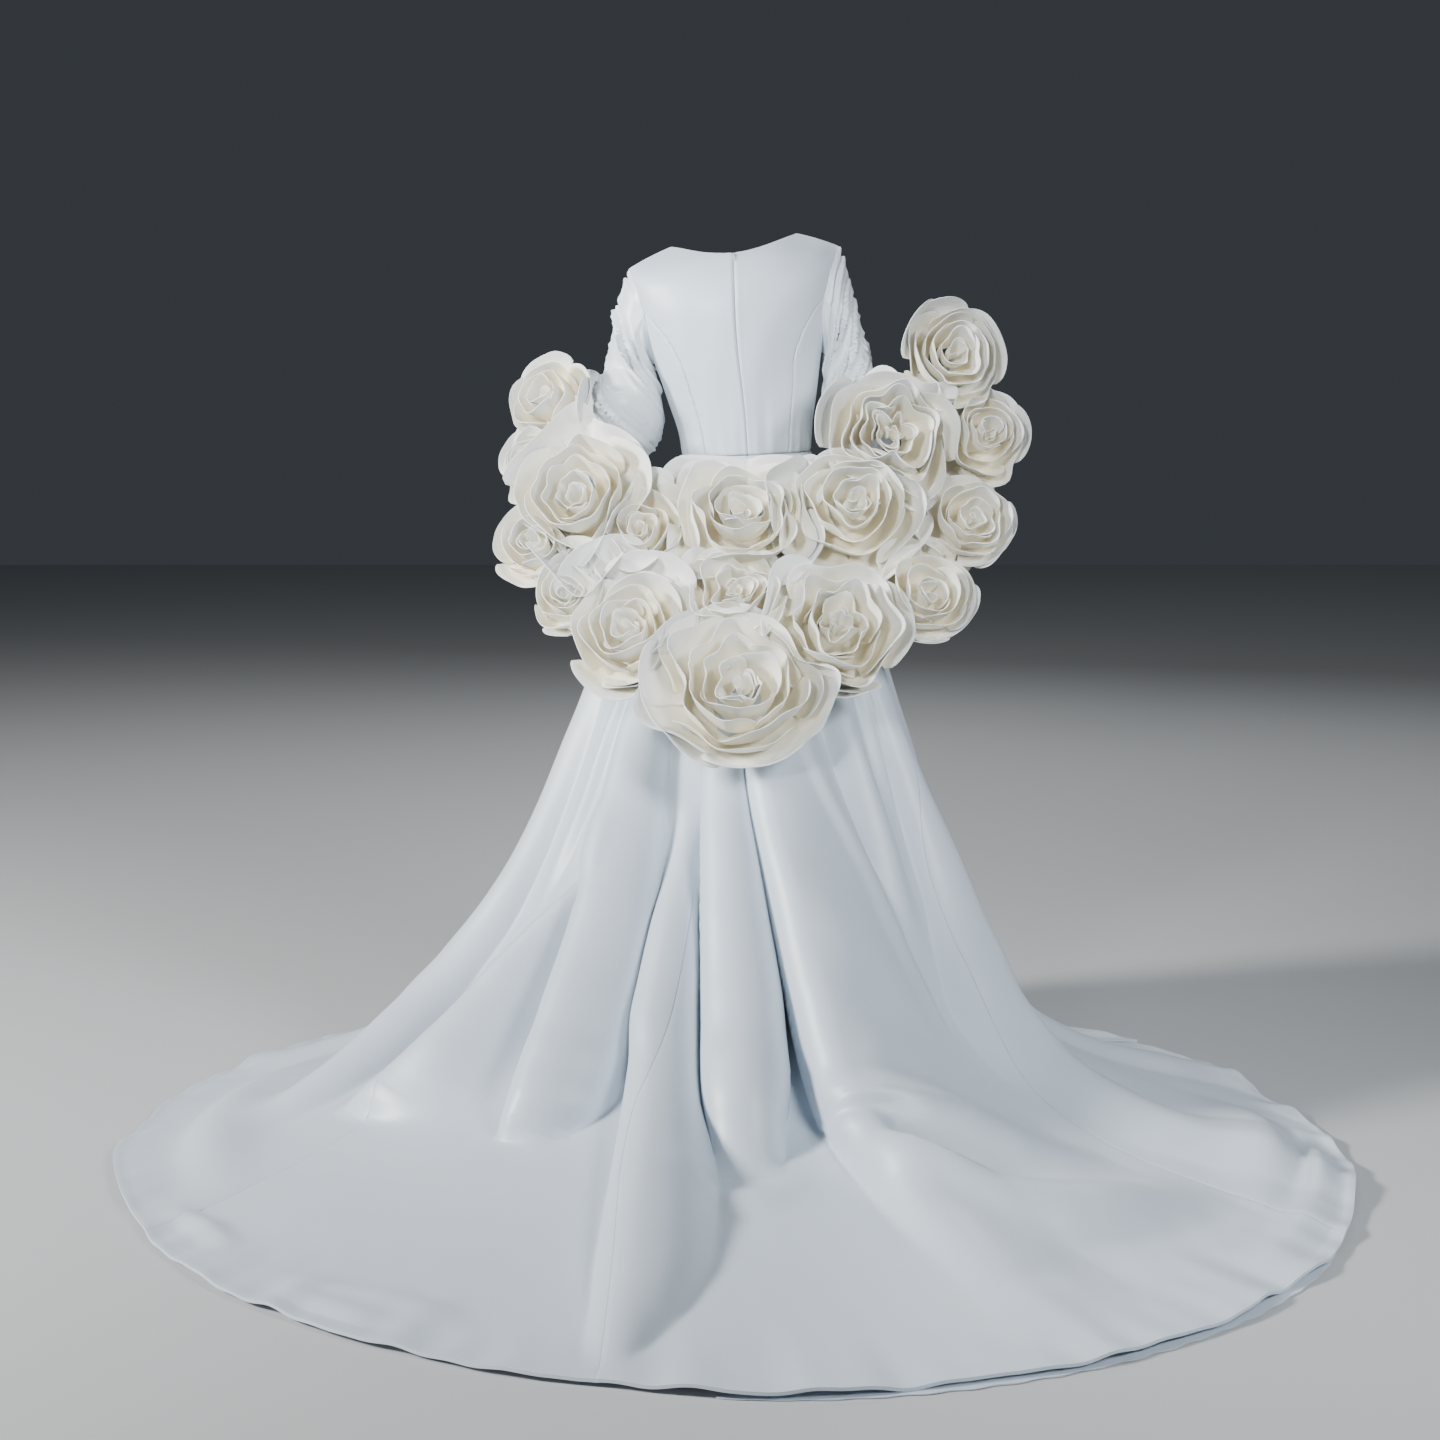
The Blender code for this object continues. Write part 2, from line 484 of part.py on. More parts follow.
def armhole_loop(left):
    """The armhole as (turn, up): underarm, up the back to the shoulder, down the front."""
    side_up = np.linspace(UNDERARM, PRINCESS_TOP, len(SIDE_SHARES))
    back_turn = np.concatenate([
        smooth(ARMHOLE_EDGE[:, 0], ARMHOLE_EDGE[:, 1], side_up),
        smooth(PRINCESS_EDGE[:, 0], PRINCESS_EDGE[:, 1], ARM_UP),
    ])
    back_up = np.concatenate([side_up, ARM_UP])
    turn = np.concatenate([back_turn, 180 - back_turn[-2:0:-1]])
    up = np.concatenate([back_up, back_up[-2:0:-1]])
    return on_side(turn, False, left), up


def arm_rings(path, spokes):
    """The centre, the spokes and the radius of each ring along the arm. A spoke keeps its place."""
    rows = np.array(path)
    stations = np.arange(len(rows))
    places = np.linspace(0, len(rows) - 1, (len(rows) - 1) * RINGS_BETWEEN + 1)
    x, y, z, radius = (smooth(stations, rows[:, k], places) for k in range(4))
    centres = np.stack([x, y, z], -1)
    along = np.gradient(centres, axis=0)
    along /= np.linalg.norm(along, axis=-1, keepdims=True)
    rings = []
    for k, (centre, axis) in enumerate(zip(centres, along)):
        spokes = spokes - (spokes @ axis)[:, None] * axis
        spokes /= np.linalg.norm(spokes, axis=-1, keepdims=True)
        rings.append((centre, spokes, radius[k]))
    return rings


def make_sleeve(name, left):
    turn, up = armhole_loop(left)
    outward = 1 if left else -1
    outer, inner = torso_wall(turn, up)
    outer[up >= 1, 1] = inner[up >= 1, 1] = 0
    tangent = np.roll(outer, -1, axis=0) - np.roll(outer, 1, axis=0)
    away = np.cross(tangent, outer - inner)
    away /= np.linalg.norm(away, axis=-1, keepdims=True)
    away *= np.sign(away[up.argmax(), 0]) * outward
    outers, inners = [outer + away * ARMHOLE_GAP], [inner + away * ARMHOLE_GAP]

    height = (outer[:, 2] - outer[:, 2].min()) / np.ptp(outer[:, 2])
    bend = outer + np.stack([outward * (CAP_OUT + CAP_ROUND * height), 0 * height, -CAP_DROP * height], -1)
    round_arm = outer - outer.mean(axis=0)
    spokes = np.stack([outward * round_arm[:, 2], round_arm[:, 1], 0 * height], -1)
    rings = []
    for k, (centre, spokes, radius) in enumerate(arm_rings(SLEEVE_PATHS[name], spokes)):
        ruche = RUCHE_DEPTH * np.sin(2.6 * k + 4 * math.pi * np.arange(len(turn)) / len(turn))
        size = (radius + ruche * min(k / 4, 1))[:, None]
        rings.append((centre + spokes * size, centre + spokes * (size - CLOTH)))
    first_outer, first_inner = rings[0]
    for t in np.linspace(0, 1, CAP_RINGS + 2)[1:-1]:
        cap = (1 - t) ** 2 * outer + 2 * t * (1 - t) * bend + t ** 2 * first_outer
        inward = (1 - t) * (inner - outer) + t * (first_inner - first_outer)
        outers.append(cap)
        inners.append(cap + inward / np.linalg.norm(inward, axis=-1, keepdims=True) * CLOTH)
    outers += [ring[0] for ring in rings]
    inners += [ring[1] for ring in rings]
    walls = np.array(outers), np.array(inners)
    last = 1 + CAP_RINGS + PARTED_ROW * RINGS_BETWEEN
    cloth_wall(name, *(wall[:last + 1] for wall in walls), (WHITE, 0.35), round_about=True)
    forearm = [wall[last:].copy() for wall in walls]
    for wall in forearm:
        onward = wall[1] - wall[0]
        wall[0] += SEAM_GAP * onward / np.linalg.norm(onward, axis=-1, keepdims=True)
    cloth_wall(name + "_forearm", *forearm, (WHITE, 0.35), round_about=True)


# ---------------------------------------------------------------- garland

def band_surface(across, down):
    """The outer face of the garland's backing, from its upper edge (down = 0) to its lower (1)."""
    across, down = np.broadcast_arrays(np.asarray(across, float), np.asarray(down, float))
    turn, top, bottom, out_x, out_y, out_z = columns(BAND, across)
    along = np.maximum(top + (bottom - top) * down, 0.002)
    round_back = np.linspace(-60, 60, 61)
    crest = fold_rise(round_back, along[..., None] + 0 * round_back).max(axis=-1)
    lift = (crest + BAND_CLEAR + BAND_CLOTH)[..., None]
    swing = np.stack([out_x, out_y, out_z], -1)
    return skirt_base(turn, along) + normal_of(skirt_base, turn, along) * lift + swing


def band_normal(across, down):
    step = 0.01
    sideways = band_surface(across + step, down) - band_surface(across - step, down)
    downwards = band_surface(across, down + step) - band_surface(across, down - step)
    normal = np.cross(sideways, downwards)
    return normal / np.linalg.norm(normal, axis=-1, keepdims=True)


def make_band():
    across, down = np.meshgrid(np.linspace(-1, 1, 25), np.linspace(0, 1, 7))
    outer, normal = band_surface(across, down), band_normal(across, down)
    return cloth_wall("garland_band", outer, outer - normal * BAND_CLOTH, (WHITE, 0.4))


def band_below():
    """The band's face, carried on past its edges, for seating the roses by a ray."""
    across, down = np.meshgrid(np.linspace(-1.3, 1.3, 105), np.linspace(-0.3, 1.5, 73))
    edge = np.clip(across, -1, 1)
    points = band_surface(edge, down) + np.stack([(across - edge) * 0.3, 0 * down, 0 * down], -1)
    rows, cols = across.shape
    faces = [(r * cols + c, (r + 1) * cols + c, (r + 1) * cols + c + 1, r * cols + c + 1)
             for r in range(rows - 1) for c in range(cols - 1)]
    return BVHTree.FromPolygons(points.reshape(-1, 3).tolist(), faces)


def rose_frames():
    """Each rose's seat on the band: centre, facing direction and the two directions across it."""
    frames = {}
    for name, across, down, radius, _, _ in ROSES:
        centre = Vector(band_surface(across, down))
        face = Vector(band_normal(across, down))
        side = face.cross(Vector((0, 0, 1))).normalized()
        rise = side.cross(face)
        frames[name] = (centre, face, side, rise, radius)
    return frames


def rose_limits(name, height, spin, frames):
    """How far the rose may reach at each spoke: its radius, or short of the next rose's share."""
    centre, face, side, rise, radius = frames[name]
    limits = []
    for k in range(ROSE_SPOKES):
        angle = math.radians(spin) + k * math.tau / ROSE_SPOKES
        way = side * math.cos(angle) + rise * math.sin(angle)
        reach = radius
        for other, (there, _, _, _, width) in frames.items():
            apart = there - centre
            if other == name or way.dot(apart) <= 0.05 * apart.length:
                continue
            share = apart.length * radius / (radius + width) - ROSE_GAP
            apart.normalize()
            for high in (0, height):
                reach = min(reach, (share - high * face.dot(apart)) / way.dot(apart))
        limits.append((way, max(reach, 0.3 * radius)))
    return limits


def rose_points(height, centre, face, limits, turns, seat):
    """A spiral of petal edges and grooves from the heart to the rim, with its faces and its rim."""
    last = round(ROSE_SPOKES * turns)
    pitch = (ROSE_RIM - ROSE_HEART) / turns
    points, spiral = [centre + face * height * 0.92], []
    for i in range(last + 1):
        way, limit = limits[i % ROSE_SPOKES]
        share = i / last
        wave = math.sin(i * math.tau / (ROSE_SPOKES * 0.43))
        reach = ROSE_HEART + (ROSE_RIM - ROSE_HEART) * share
        high = height * (1.0 - 0.55 * share ** 1.6) + 0.05 * limit * wave
        edge = centre + way * reach * limit + face * high
        if i <= last - ROSE_SPOKES:
            deep = PETAL_DEPTH * limit * (0.7 + 0.6 * share)
            low = centre + way * (reach + pitch / 2) * limit + face * (high - deep)
        else:
            low = seated(centre + way * limit + face * 0.14 * height, face, ROSE_CLEAR, seat, RIM_DROOP)
        spiral.append((len(points), len(points) + 1))
        points += [edge, low]
    faces = []
    for i in range(last):
        (edge, groove), (next_edge, next_groove) = spiral[i], spiral[i + 1]
        faces.append((edge, groove, next_groove, next_edge))
        if i < ROSE_SPOKES:
            faces.append((0, edge, next_edge))
        if i + ROSE_SPOKES < last:
            behind, next_behind = spiral[i + ROSE_SPOKES][0], spiral[i + ROSE_SPOKES + 1][0]
            faces.append((groove, behind, next_behind, next_groove))
    (start_edge, start_groove), outside = spiral[0], spiral[ROSE_SPOKES][0]
    faces += [(0, outside, start_groove), (0, start_groove, start_edge)]
    rim = [groove for _, groove in spiral[last - ROSE_SPOKES:]] + [spiral[last][0]]
    return points, faces, rim


def seated(point, face, clear, seat, droop=0.0):
    """The point, moved out along the rose's facing direction, or back by up to droop, to the backing."""
    hit = seat.ray_cast(point + face * 0.2, -face)[0]
    if hit is None:
        return point
    return point + face * max(clear - (point - hit).dot(face), -droop)


def room_below(points, faces, rim, face, band):
    """How far the rose can move back along its facing direction before it meets the backing."""
    verts, triangles = band
    below = BVHTree.FromPolygons(verts, triangles)
    above = BVHTree.FromPolygons(points, faces)
    loop = [points[k] for k in rim]
    probes = [a.lerp(b, k / 8) for a, b in zip(loop, loop[1:] + loop[:1]) for k in range(8)]
    rooms = [below.ray_cast(point, -face)[3] for point in probes]
    rooms += [above.ray_cast(vert, face)[3] for vert in verts]
    return min(distance for distance in rooms if distance is not None) - ROSE_SEAT


def make_rose(name, height, spin, frames, seat, band):
    centre, face, _, _, radius = frames[name]
    limits = rose_limits(name, height, spin, frames)
    turns = 3.0 if radius > 0.085 else 2.4
    points, faces, rim = rose_points(height, centre, face, limits, turns, seat)
    form = bmesh.new()
    outer = [form.verts.new(point) for point in points]
    skin = [form.faces.new([outer[k] for k in corners]) for corners in faces]
    form.normal_update()
    if sum(f.normal.dot(face) * f.calc_area() for f in skin) < 0:
        bmesh.ops.reverse_faces(form, faces=skin)
        form.normal_update()
    inner = [form.verts.new(seated(v.co - v.normal * PETAL_CLOTH, face, ROSE_CLEAR / 4, seat))
             for v in outer]
    room = room_below([v.co.copy() for v in inner], faces, rim, face, band)
    for vert in outer + inner:
        vert.co -= face * room
    for corners in faces:
        form.faces.new([inner[k] for k in corners])
    for a, b in zip(rim, rim[1:] + rim[:1]):
        form.faces.new((outer[a], outer[b], inner[b], inner[a]))
    bmesh.ops.recalc_face_normals(form, faces=form.faces)
    mesh = bpy.data.meshes.new(name)
    form.to_mesh(mesh)
    form.free()
    new_object(name, mesh, (IVORY, 0.5))


def make_garland():
    mesh = make_band().data
    mesh.calc_loop_triangles()
    band = ([v.co.copy() for v in mesh.vertices], [tuple(tri.vertices) for tri in mesh.loop_triangles])
    frames, seat = rose_frames(), band_below()
    for name, _, _, _, height, spin in ROSES:
        make_rose(name, height, spin, frames, seat, band)


# ---------------------------------------------------------------- zip

def zip_frame():
    """The slider's place on the centre-back seam: its middle on the cloth, down the seam, out of it."""
    rows = np.array((SEAM_UP[-1], ARM_UP[-2], ARM_UP[-1])) * BACK_NECK
    _, below, top = (Vector(point) for point in torso(np.zeros(3), rows))
    down = (below - top).normalized()
    return Matrix((
        (1, down.x, -down.cross(Vector((1, 0, 0))).x, 0),
        (0, down.y, -down.cross(Vector((1, 0, 0))).y, 0),
        (0, down.z, -down.cross(Vector((1, 0, 0))).z, 0),
        (0, 0, 0, 1),
    )), top + down * SLIDER_DOWN


def plate(name, outline, low, high, turn_up=False):
    """A plate from an outline: (across, down) raised from low to high, or (down, out) raised across."""
    form = bmesh.new()
    loops = []
    for level in (low, high):
        loops.append([form.verts.new((level, a, b) if turn_up else (a, b, level)) for a, b in outline])
    bottom, top = loops
    form.faces.new(bottom)
    form.faces.new(top)
    for k in range(len(outline)):
        n = (k + 1) % len(outline)
        form.faces.new((bottom[k], bottom[n], top[n], top[k]))
    bmesh.ops.recalc_face_normals(form, faces=form.faces)
    mesh = bpy.data.meshes.new(name)
    form.to_mesh(mesh)
    form.free()
    return mesh


def make_zip():
    axes, middle = zip_frame()
    place = Matrix.Translation(middle) @ axes
    base = SEAM_GAP
    top = base + SLIDER_DEEP
    wide, foot, long = SLIDER_HALF_TOP, SLIDER_HALF_FOOT, SLIDER_HALF_LONG
    cut = 0.0010  # off each corner
    outline = ((-wide + cut, -long), (wide - cut, -long), (wide, -long + cut), (foot, long - cut),
               (foot - cut, long), (-foot + cut, long), (-foot, long - cut), (-wide, -long + cut))
    slider = new_object("zip_slider", plate("zip_slider", outline, base, top), (METAL, 0.3, 1.0))
    leg, under = BRIDGE_HALF_LONG - BRIDGE_LEG, top + BRIDGE_CLEAR
    sink, over = top - 0.0005, under + BRIDGE_THICK
    arch = ((-BRIDGE_HALF_LONG, sink), (-BRIDGE_HALF_LONG, over - cut / 2),
            (-BRIDGE_HALF_LONG + cut / 2, over), (BRIDGE_HALF_LONG - cut / 2, over),
            (BRIDGE_HALF_LONG, over - cut / 2), (BRIDGE_HALF_LONG, sink), (leg, sink),
            (leg, under), (-leg, under), (-leg, sink))
    bridge = new_object("zip_bridge_form", plate("zip_bridge_form", arch, -BRIDGE_HALF_WIDE,
                                                 BRIDGE_HALF_WIDE, True), (METAL, 0.3, 1.0))
    bridge.hide_render = True
    join = slider.modifiers.new("bridge", "BOOLEAN")
    join.operation, join.object, join.solver = "UNION", bridge, "EXACT"
    pull = new_object("zip_pull", pull_mesh(top + BRIDGE_CLEAR / 2), (METAL, 0.3, 1.0))
    for obj in (slider, bridge, pull):
        obj.matrix_local = place


def pull_mesh(out):
    """The pull: a flat tab, with an eye round the bridge and a bar under it."""
    half, eye, bar = PULL_HALF_WIDE, PULL_EYE_HALF, PULL_BAR / 2
    end, long = PULL_EYE_END, PULL_LONG
    outer = ((-half + 0.0004, -bar), (half - 0.0004, -bar), (half, 0.0004), (half, end),
             (half * 1.15, long - 0.003), (half * 0.6, long), (-half * 0.6, long),
             (-half * 1.15, long - 0.003), (-half, end), (-half, 0.0004))
    inner = ((-eye + 0.0003, bar), (eye - 0.0003, bar), (eye, bar + 0.0003), (eye, end - 0.0006),
             (eye, end - 0.0003), (eye * 0.6, end), (-eye * 0.6, end),
             (-eye, end - 0.0003), (-eye, end - 0.0006), (-eye, bar + 0.0003))
    form = bmesh.new()
    rings = [[form.verts.new((x, y, out + side * bar)) for x, y in loop]
             for side in (-1, 1) for loop in (outer, inner)]
    low_out, low_in, high_out, high_in = rings
    for k in range(len(outer)):
        n = (k + 1) % len(outer)
        form.faces.new((low_out[k], low_out[n], low_in[n], low_in[k]))
        form.faces.new((high_out[k], high_out[n], high_in[n], high_in[k]))
        form.faces.new((low_out[k], low_out[n], high_out[n], high_out[k]))
        form.faces.new((low_in[k], low_in[n], high_in[n], high_in[k]))
    bmesh.ops.recalc_face_normals(form, faces=form.faces)
    mesh = bpy.data.meshes.new("zip_pull")
    form.to_mesh(mesh)
    form.free()
    return mesh


# ---------------------------------------------------------------- the object

for old in list(bpy.data.objects):
    bpy.data.objects.remove(old, do_unlink=True)
parts = bpy.data.collections.new("wedding_dress")
bpy.context.scene.collection.children.link(parts)
hold = bpy.data.objects.new("hold_point", None)
hold.location = (0, 0, -HOLD_HEIGHT)
parts.objects.link(hold)

make_skirt()
make_hem_facing()
make_bodice()
make_sleeve("sleeve_left", True)
make_sleeve("sleeve_right", False)
make_garland()
make_zip()
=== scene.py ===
"""The looks of a long-sleeved satin wedding dress with a round train and a garland of fabric roses.

Each panel, sleeve and rose is made again at a finer grain on the same tables as its solid, with
the smaller folds, seams, puckers and petals that the solid leaves out. Metres, in the frame of the
solids. The shapes are worked out in floor coordinates and let down by HOLD_HEIGHT at the end.
"""

import math

import bpy
import numpy as np
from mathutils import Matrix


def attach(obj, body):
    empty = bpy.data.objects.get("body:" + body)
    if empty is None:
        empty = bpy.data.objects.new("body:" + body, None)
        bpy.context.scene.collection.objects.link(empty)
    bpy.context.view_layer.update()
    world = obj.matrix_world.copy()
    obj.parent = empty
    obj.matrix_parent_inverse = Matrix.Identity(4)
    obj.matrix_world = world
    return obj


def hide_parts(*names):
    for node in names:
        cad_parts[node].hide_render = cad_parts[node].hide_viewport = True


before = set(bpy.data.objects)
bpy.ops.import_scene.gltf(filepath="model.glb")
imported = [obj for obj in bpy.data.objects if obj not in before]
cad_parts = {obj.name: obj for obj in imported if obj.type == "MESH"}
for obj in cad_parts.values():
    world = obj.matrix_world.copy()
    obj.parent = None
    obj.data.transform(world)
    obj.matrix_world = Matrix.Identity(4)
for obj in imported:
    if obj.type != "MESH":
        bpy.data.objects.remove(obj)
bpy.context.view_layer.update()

HOLD_HEIGHT = 1.50  # from the floor to the shoulders
CLOTH = 0.0020  # satin with its backing
FACING_CLOTH = 0.0015
PETAL_CLOTH = 0.0012
SEAM_GAP = 0.0003
ARMHOLE_GAP = 0.0005

# ---------------------------------------------------------------- tables

# The skirt at rest, one row for each ring from the waist to the hem.
# along, height, centre_x, centre_y, half_width, half_depth
SKIRT_RINGS = np.array((
    (0.00, 1.150, -0.018, 0.000, 0.118, 0.096),
    (0.06, 1.080, -0.018, 0.005, 0.150, 0.128),
    (0.14, 0.990, -0.016, 0.012, 0.190, 0.180),
    (0.24, 0.880, -0.012, 0.022, 0.228, 0.225),
    (0.34, 0.770, -0.010, 0.035, 0.262, 0.262),
    (0.44, 0.650, -0.006, 0.055, 0.293, 0.300),
    (0.53, 0.520, -0.002, 0.085, 0.333, 0.340),
    (0.61, 0.390, 0.004, 0.125, 0.382, 0.385),
    (0.68, 0.270, 0.012, 0.165, 0.440, 0.430),
    (0.74, 0.170, 0.024, 0.210, 0.515, 0.480),
    (0.79, 0.095, 0.036, 0.260, 0.610, 0.545),
    (0.84, 0.045, 0.035, 0.330, 0.735, 0.645),
    (0.90, 0.016, 0.015, 0.420, 0.890, 0.800),
    (1.00, 0.0045, 0.000, 0.520, 1.000, 1.000),
))
TRAIN_START = 0.79  # along, where the skirt begins to lie on the floor

# How far the hem reaches from its centre: turn, reach
HEM_REACH = np.array((
    (-160, 0.950), (-128, 0.985), (-106, 0.985), (-85, 1.005), (-65, 1.025), (-45, 1.045),
    (-22, 1.062), (0, 1.065), (20, 1.040), (40, 1.020), (60, 1.010), (85, 1.035),
    (110, 1.030), (128, 1.030), (160, 0.970),
))

# Folds that run down the skirt: name, roundness, then at each station (along, turn, rise,
# spread_left, spread_right). Turn and spreads are degrees, along and rise are thousandths.
FOLD_UNITS = (1000, 1, 1000, 1, 1)
FOLDS = (
    ("outer_left", 1.6, ((200, 74, 0, 12, 12), (400, 76, 26, 14, 11), (600, 78, 50, 13, 8),
        (720, 82, 72, 11, 7), (790, 80, 58, 10, 6), (835, 80, 30, 9, 6), (880, 82, 0, 10, 8))),
    ("left_fan", 2.0, ((500, 36, 0, 6, 5), (590, 40, 50, 6, 7), (635, 46.5, 80, 6, 10.5),
        (690, 52.5, 92, 6, 14.5), (740, 56, 90, 5.5, 16), (785, 61, 64, 5, 19),
        (808, 65, 36, 4, 15), (822, 69, 0, 3, 8))),
    ("left_tube", 1.25, ((140, 32, 0, 8, 8), (300, 34, 30, 9, 9), (420, 34.5, 60, 8, 10),
        (520, 34, 77, 6.5, 12), (610, 32.7, 92, 6, 13.5), (680, 32.4, 102, 5.5, 14),
        (745, 32.5, 90, 5, 14), (780, 33, 62, 4, 12), (795, 34, 34, 3, 9), (806, 34.5, 0, 2, 6))),
    ("seam_ridge", 1.25, ((500, 14.5, 0, 5, 4), (580, 15.5, 30, 5, 5), (620, 15.2, 60, 5, 7),
        (665, 15, 76, 5, 9), (700, 14.5, 82, 5, 9.5), (742, 12.5, 82, 5, 9.5),
        (790, 10.5, 80, 5.5, 10), (840, 9.8, 70, 5, 10), (880, 9.8, 57, 4.5, 8.5),
        (925, 9.8, 36, 3.5, 5.5), (965, 10, 15, 2.5, 2.5), (985, 9.8, 0, 2, 1))),
    ("centre_pleat", 1.0, ((140, 4, 0, 5, 5), (300, 5, 30, 5.5, 5.5), (460, 5, 55, 6, 6),
        (600, 0.6, 80, 7.5, 7.5), (700, -2.5, 88, 8, 8.5), (770, -4.5, 78, 7.5, 7.5),
        (820, -5, 0, 5, 5))),
    ("right_panel", 1.3, ((140, -9, 0, 6, 14), (300, -7, 35, 6, 16), (460, -6.5, 70, 5.5, 24),
        (600, -13, 100, 5, 30), (700, -18, 110, 5, 32), (780, -22, 85, 5, 32),
        (840, -26, 40, 6, 30), (920, -28, 0, 8, 20))),
    ("right_soft", 1.8, ((300, -36, 0, 9, 9), (420, -38, 25, 10, 8), (560, -45, 30, 10, 8),
        (660, -50, 0, 8, 8))),
    ("outer_right", 1.3, ((160, -54, 0, 7, 12), (360, -57, 34, 8, 14), (500, -64, 50, 9, 14),
        (600, -71, 60, 13, 13), (720, -70, 66, 16, 12), (790, -72, 50, 13, 11),
        (850, -74, 30, 9, 9), (970, -75, 12, 7, 7), (1000, -75, 8, 7, 7))),
    ("side_left", 1.5, ((160, 112, 0, 10, 10), (420, 114, 30, 12, 12), (700, 116, 50, 11, 11),
        (880, 117, 20, 9, 9), (1000, 117, 10, 8, 8))),
    ("side_right", 1.5, ((160, -106, 0, 10, 10), (420, -108, 28, 12, 12), (700, -110, 45, 11, 11),
        (880, -112, 20, 9, 9), (1000, -112, 10, 8, 8))),
    ("front_left", 1.4, ((180, 146, 0, 9, 9), (420, 147, 32, 11, 11), (720, 148, 48, 10, 10),
        (1000, 149, 20, 8, 8))),
    ("front_right", 1.4, ((180, -141, 0, 9, 9), (420, -143, 30, 11, 11), (720, -144, 46, 10, 10),
        (1000, -145, 20, 8, 8))),
    ("front_middle", 1.5, ((240, 176, 0, 8, 8), (500, 176, 22, 10, 10), (740, 177, 36, 9, 9),
        (1000, 178, 16, 7, 7))),
)

# Ripples that lie across the train: name, roundness, then at each station (turn, along, rise,
# spread_up, spread_down). Turn is degrees, the spreads run along, all but turn are thousandths.
RIPPLE_UNITS = (1, 1000, 1000, 1000, 1000)
RIPPLES = (
    ("near", 1.5, ((-58, 855, 0, 30, 30), (-48, 828, 18, 30, 35), (-34, 795, 30, 30, 30),
        (-24, 775, 25, 25, 25), (-17, 765, 0, 20, 20))),
    ("middle", 1.6, ((-62, 888, 0, 30, 30), (-50, 882, 20, 30, 30), (-36, 868, 24, 25, 30),
        (-26, 835, 18, 25, 30), (-20, 820, 0, 20, 30))),
    ("far", 1.6, ((-95, 900, 0, 40, 40), (-84, 900, 25, 40, 40), (-74, 905, 20, 30, 40),
        (-60, 920, 0, 30, 40))),
    ("left", 1.8, ((62, 900, 0, 30, 40), (80, 885, 22, 35, 40), (96, 870, 20, 35, 40),
        (110, 860, 0, 30, 40))),
)

# The centre-back seam leaves the zip and follows a fold to the hem: along, turn
BACK_SEAM = np.array(((0.00, 0), (0.20, 5), (0.45, 11), (0.55, 12), (1.00, 10.5)))
SIDE_SEAMS = (62, 128)  # turn of the seams at the sides, the same left and right

# The torso, one row for each ring from the waist to the top of the shoulders.
# up, height, centre_x, half_width, back_depth, front_depth, shoulder_drop, tilt
TORSO_RINGS = np.array((
    (0.00, 1.1503, -0.018, 0.118, 0.096, 0.096, 0.000, -0.047),
    (0.14, 1.200, -0.015, 0.124, 0.101, 0.108, 0.000, -0.055),
    (0.30, 1.262, -0.009, 0.138, 0.108, 0.122, 0.000, -0.065),
    (0.46, 1.325, -0.001, 0.153, 0.114, 0.130, 0.000, -0.078),
    (0.60, 1.385, 0.004, 0.166, 0.117, 0.125, 0.000, -0.090),
    (0.74, 1.440, 0.006, 0.180, 0.112, 0.108, 0.004, -0.100),
    (0.86, 1.486, 0.007, 0.188, 0.094, 0.084, 0.014, -0.107),
    (0.94, 1.518, 0.007, 0.191, 0.062, 0.056, 0.028, -0.107),
    (1.00, 1.557, 0.007, 0.193, 0.000, 0.000, 0.049, -0.107),
))
# The edge where a princess seam runs up into the armhole and on to the shoulder: up, turn
PRINCESS_EDGE = np.array((
    (0.00, 40), (0.30, 42), (0.46, 43), (0.56, 50), (0.64, 60), (0.70, 68), (0.78, 69),
    (0.90, 73), (1.00, 80),
))
UNDERARM = 0.47  # up, where side seam and armhole meet
PRINCESS_TOP = 0.70
# The armhole between underarm and princess seam: up, turn
ARMHOLE_EDGE = np.array(((0.47, 90), (0.52, 82), (0.58, 74), (0.70, 68)))
BACK_NECK, FRONT_NECK = 0.930, 0.895  # up, at the middle of the neckline
NECK_CORNER = 0.455  # share of a centre panel's width where neckline and shoulder seam meet
BUST_RISE, BUST_TURN, BUST_UP = 0.020, 36, 0.50

# Sleeves, from below the armhole to the cuff: x, y, z, radius
SLEEVE_PATHS = {
    "sleeve_left": ((0.197, 0.002, 1.300, 0.046), (0.199, 0.006, 1.272, 0.058),
                    (0.199, 0.008, 1.240, 0.064), (0.196, -0.006, 1.206, 0.062),
                    (0.204, -0.042, 1.184, 0.054), (0.226, -0.090, 1.196, 0.046),
                    (0.250, -0.140, 1.222, 0.041), (0.272, -0.185, 1.252, 0.037),
                    (0.292, -0.222, 1.282, 0.033)),
    "sleeve_right": ((-0.202, 0.004, 1.310, 0.043), (-0.206, 0.008, 1.280, 0.045),
                     (-0.209, 0.010, 1.250, 0.047), (-0.214, 0.006, 1.220, 0.049),
                     (-0.236, -0.008, 1.204, 0.046), (-0.280, -0.026, 1.216, 0.042),
                     (-0.335, -0.044, 1.246, 0.039), (-0.390, -0.056, 1.280, 0.036),
                     (-0.440, -0.062, 1.312, 0.033)),
}
RINGS_BETWEEN = 16  # sleeve rings for each row of its path
CAP_RINGS = 36  # rings between the armhole and the first row
CAP_OUT, CAP_ROUND, CAP_DROP = 0.008, 0.016, 0.028  # how the sleeve head rounds out of the armhole

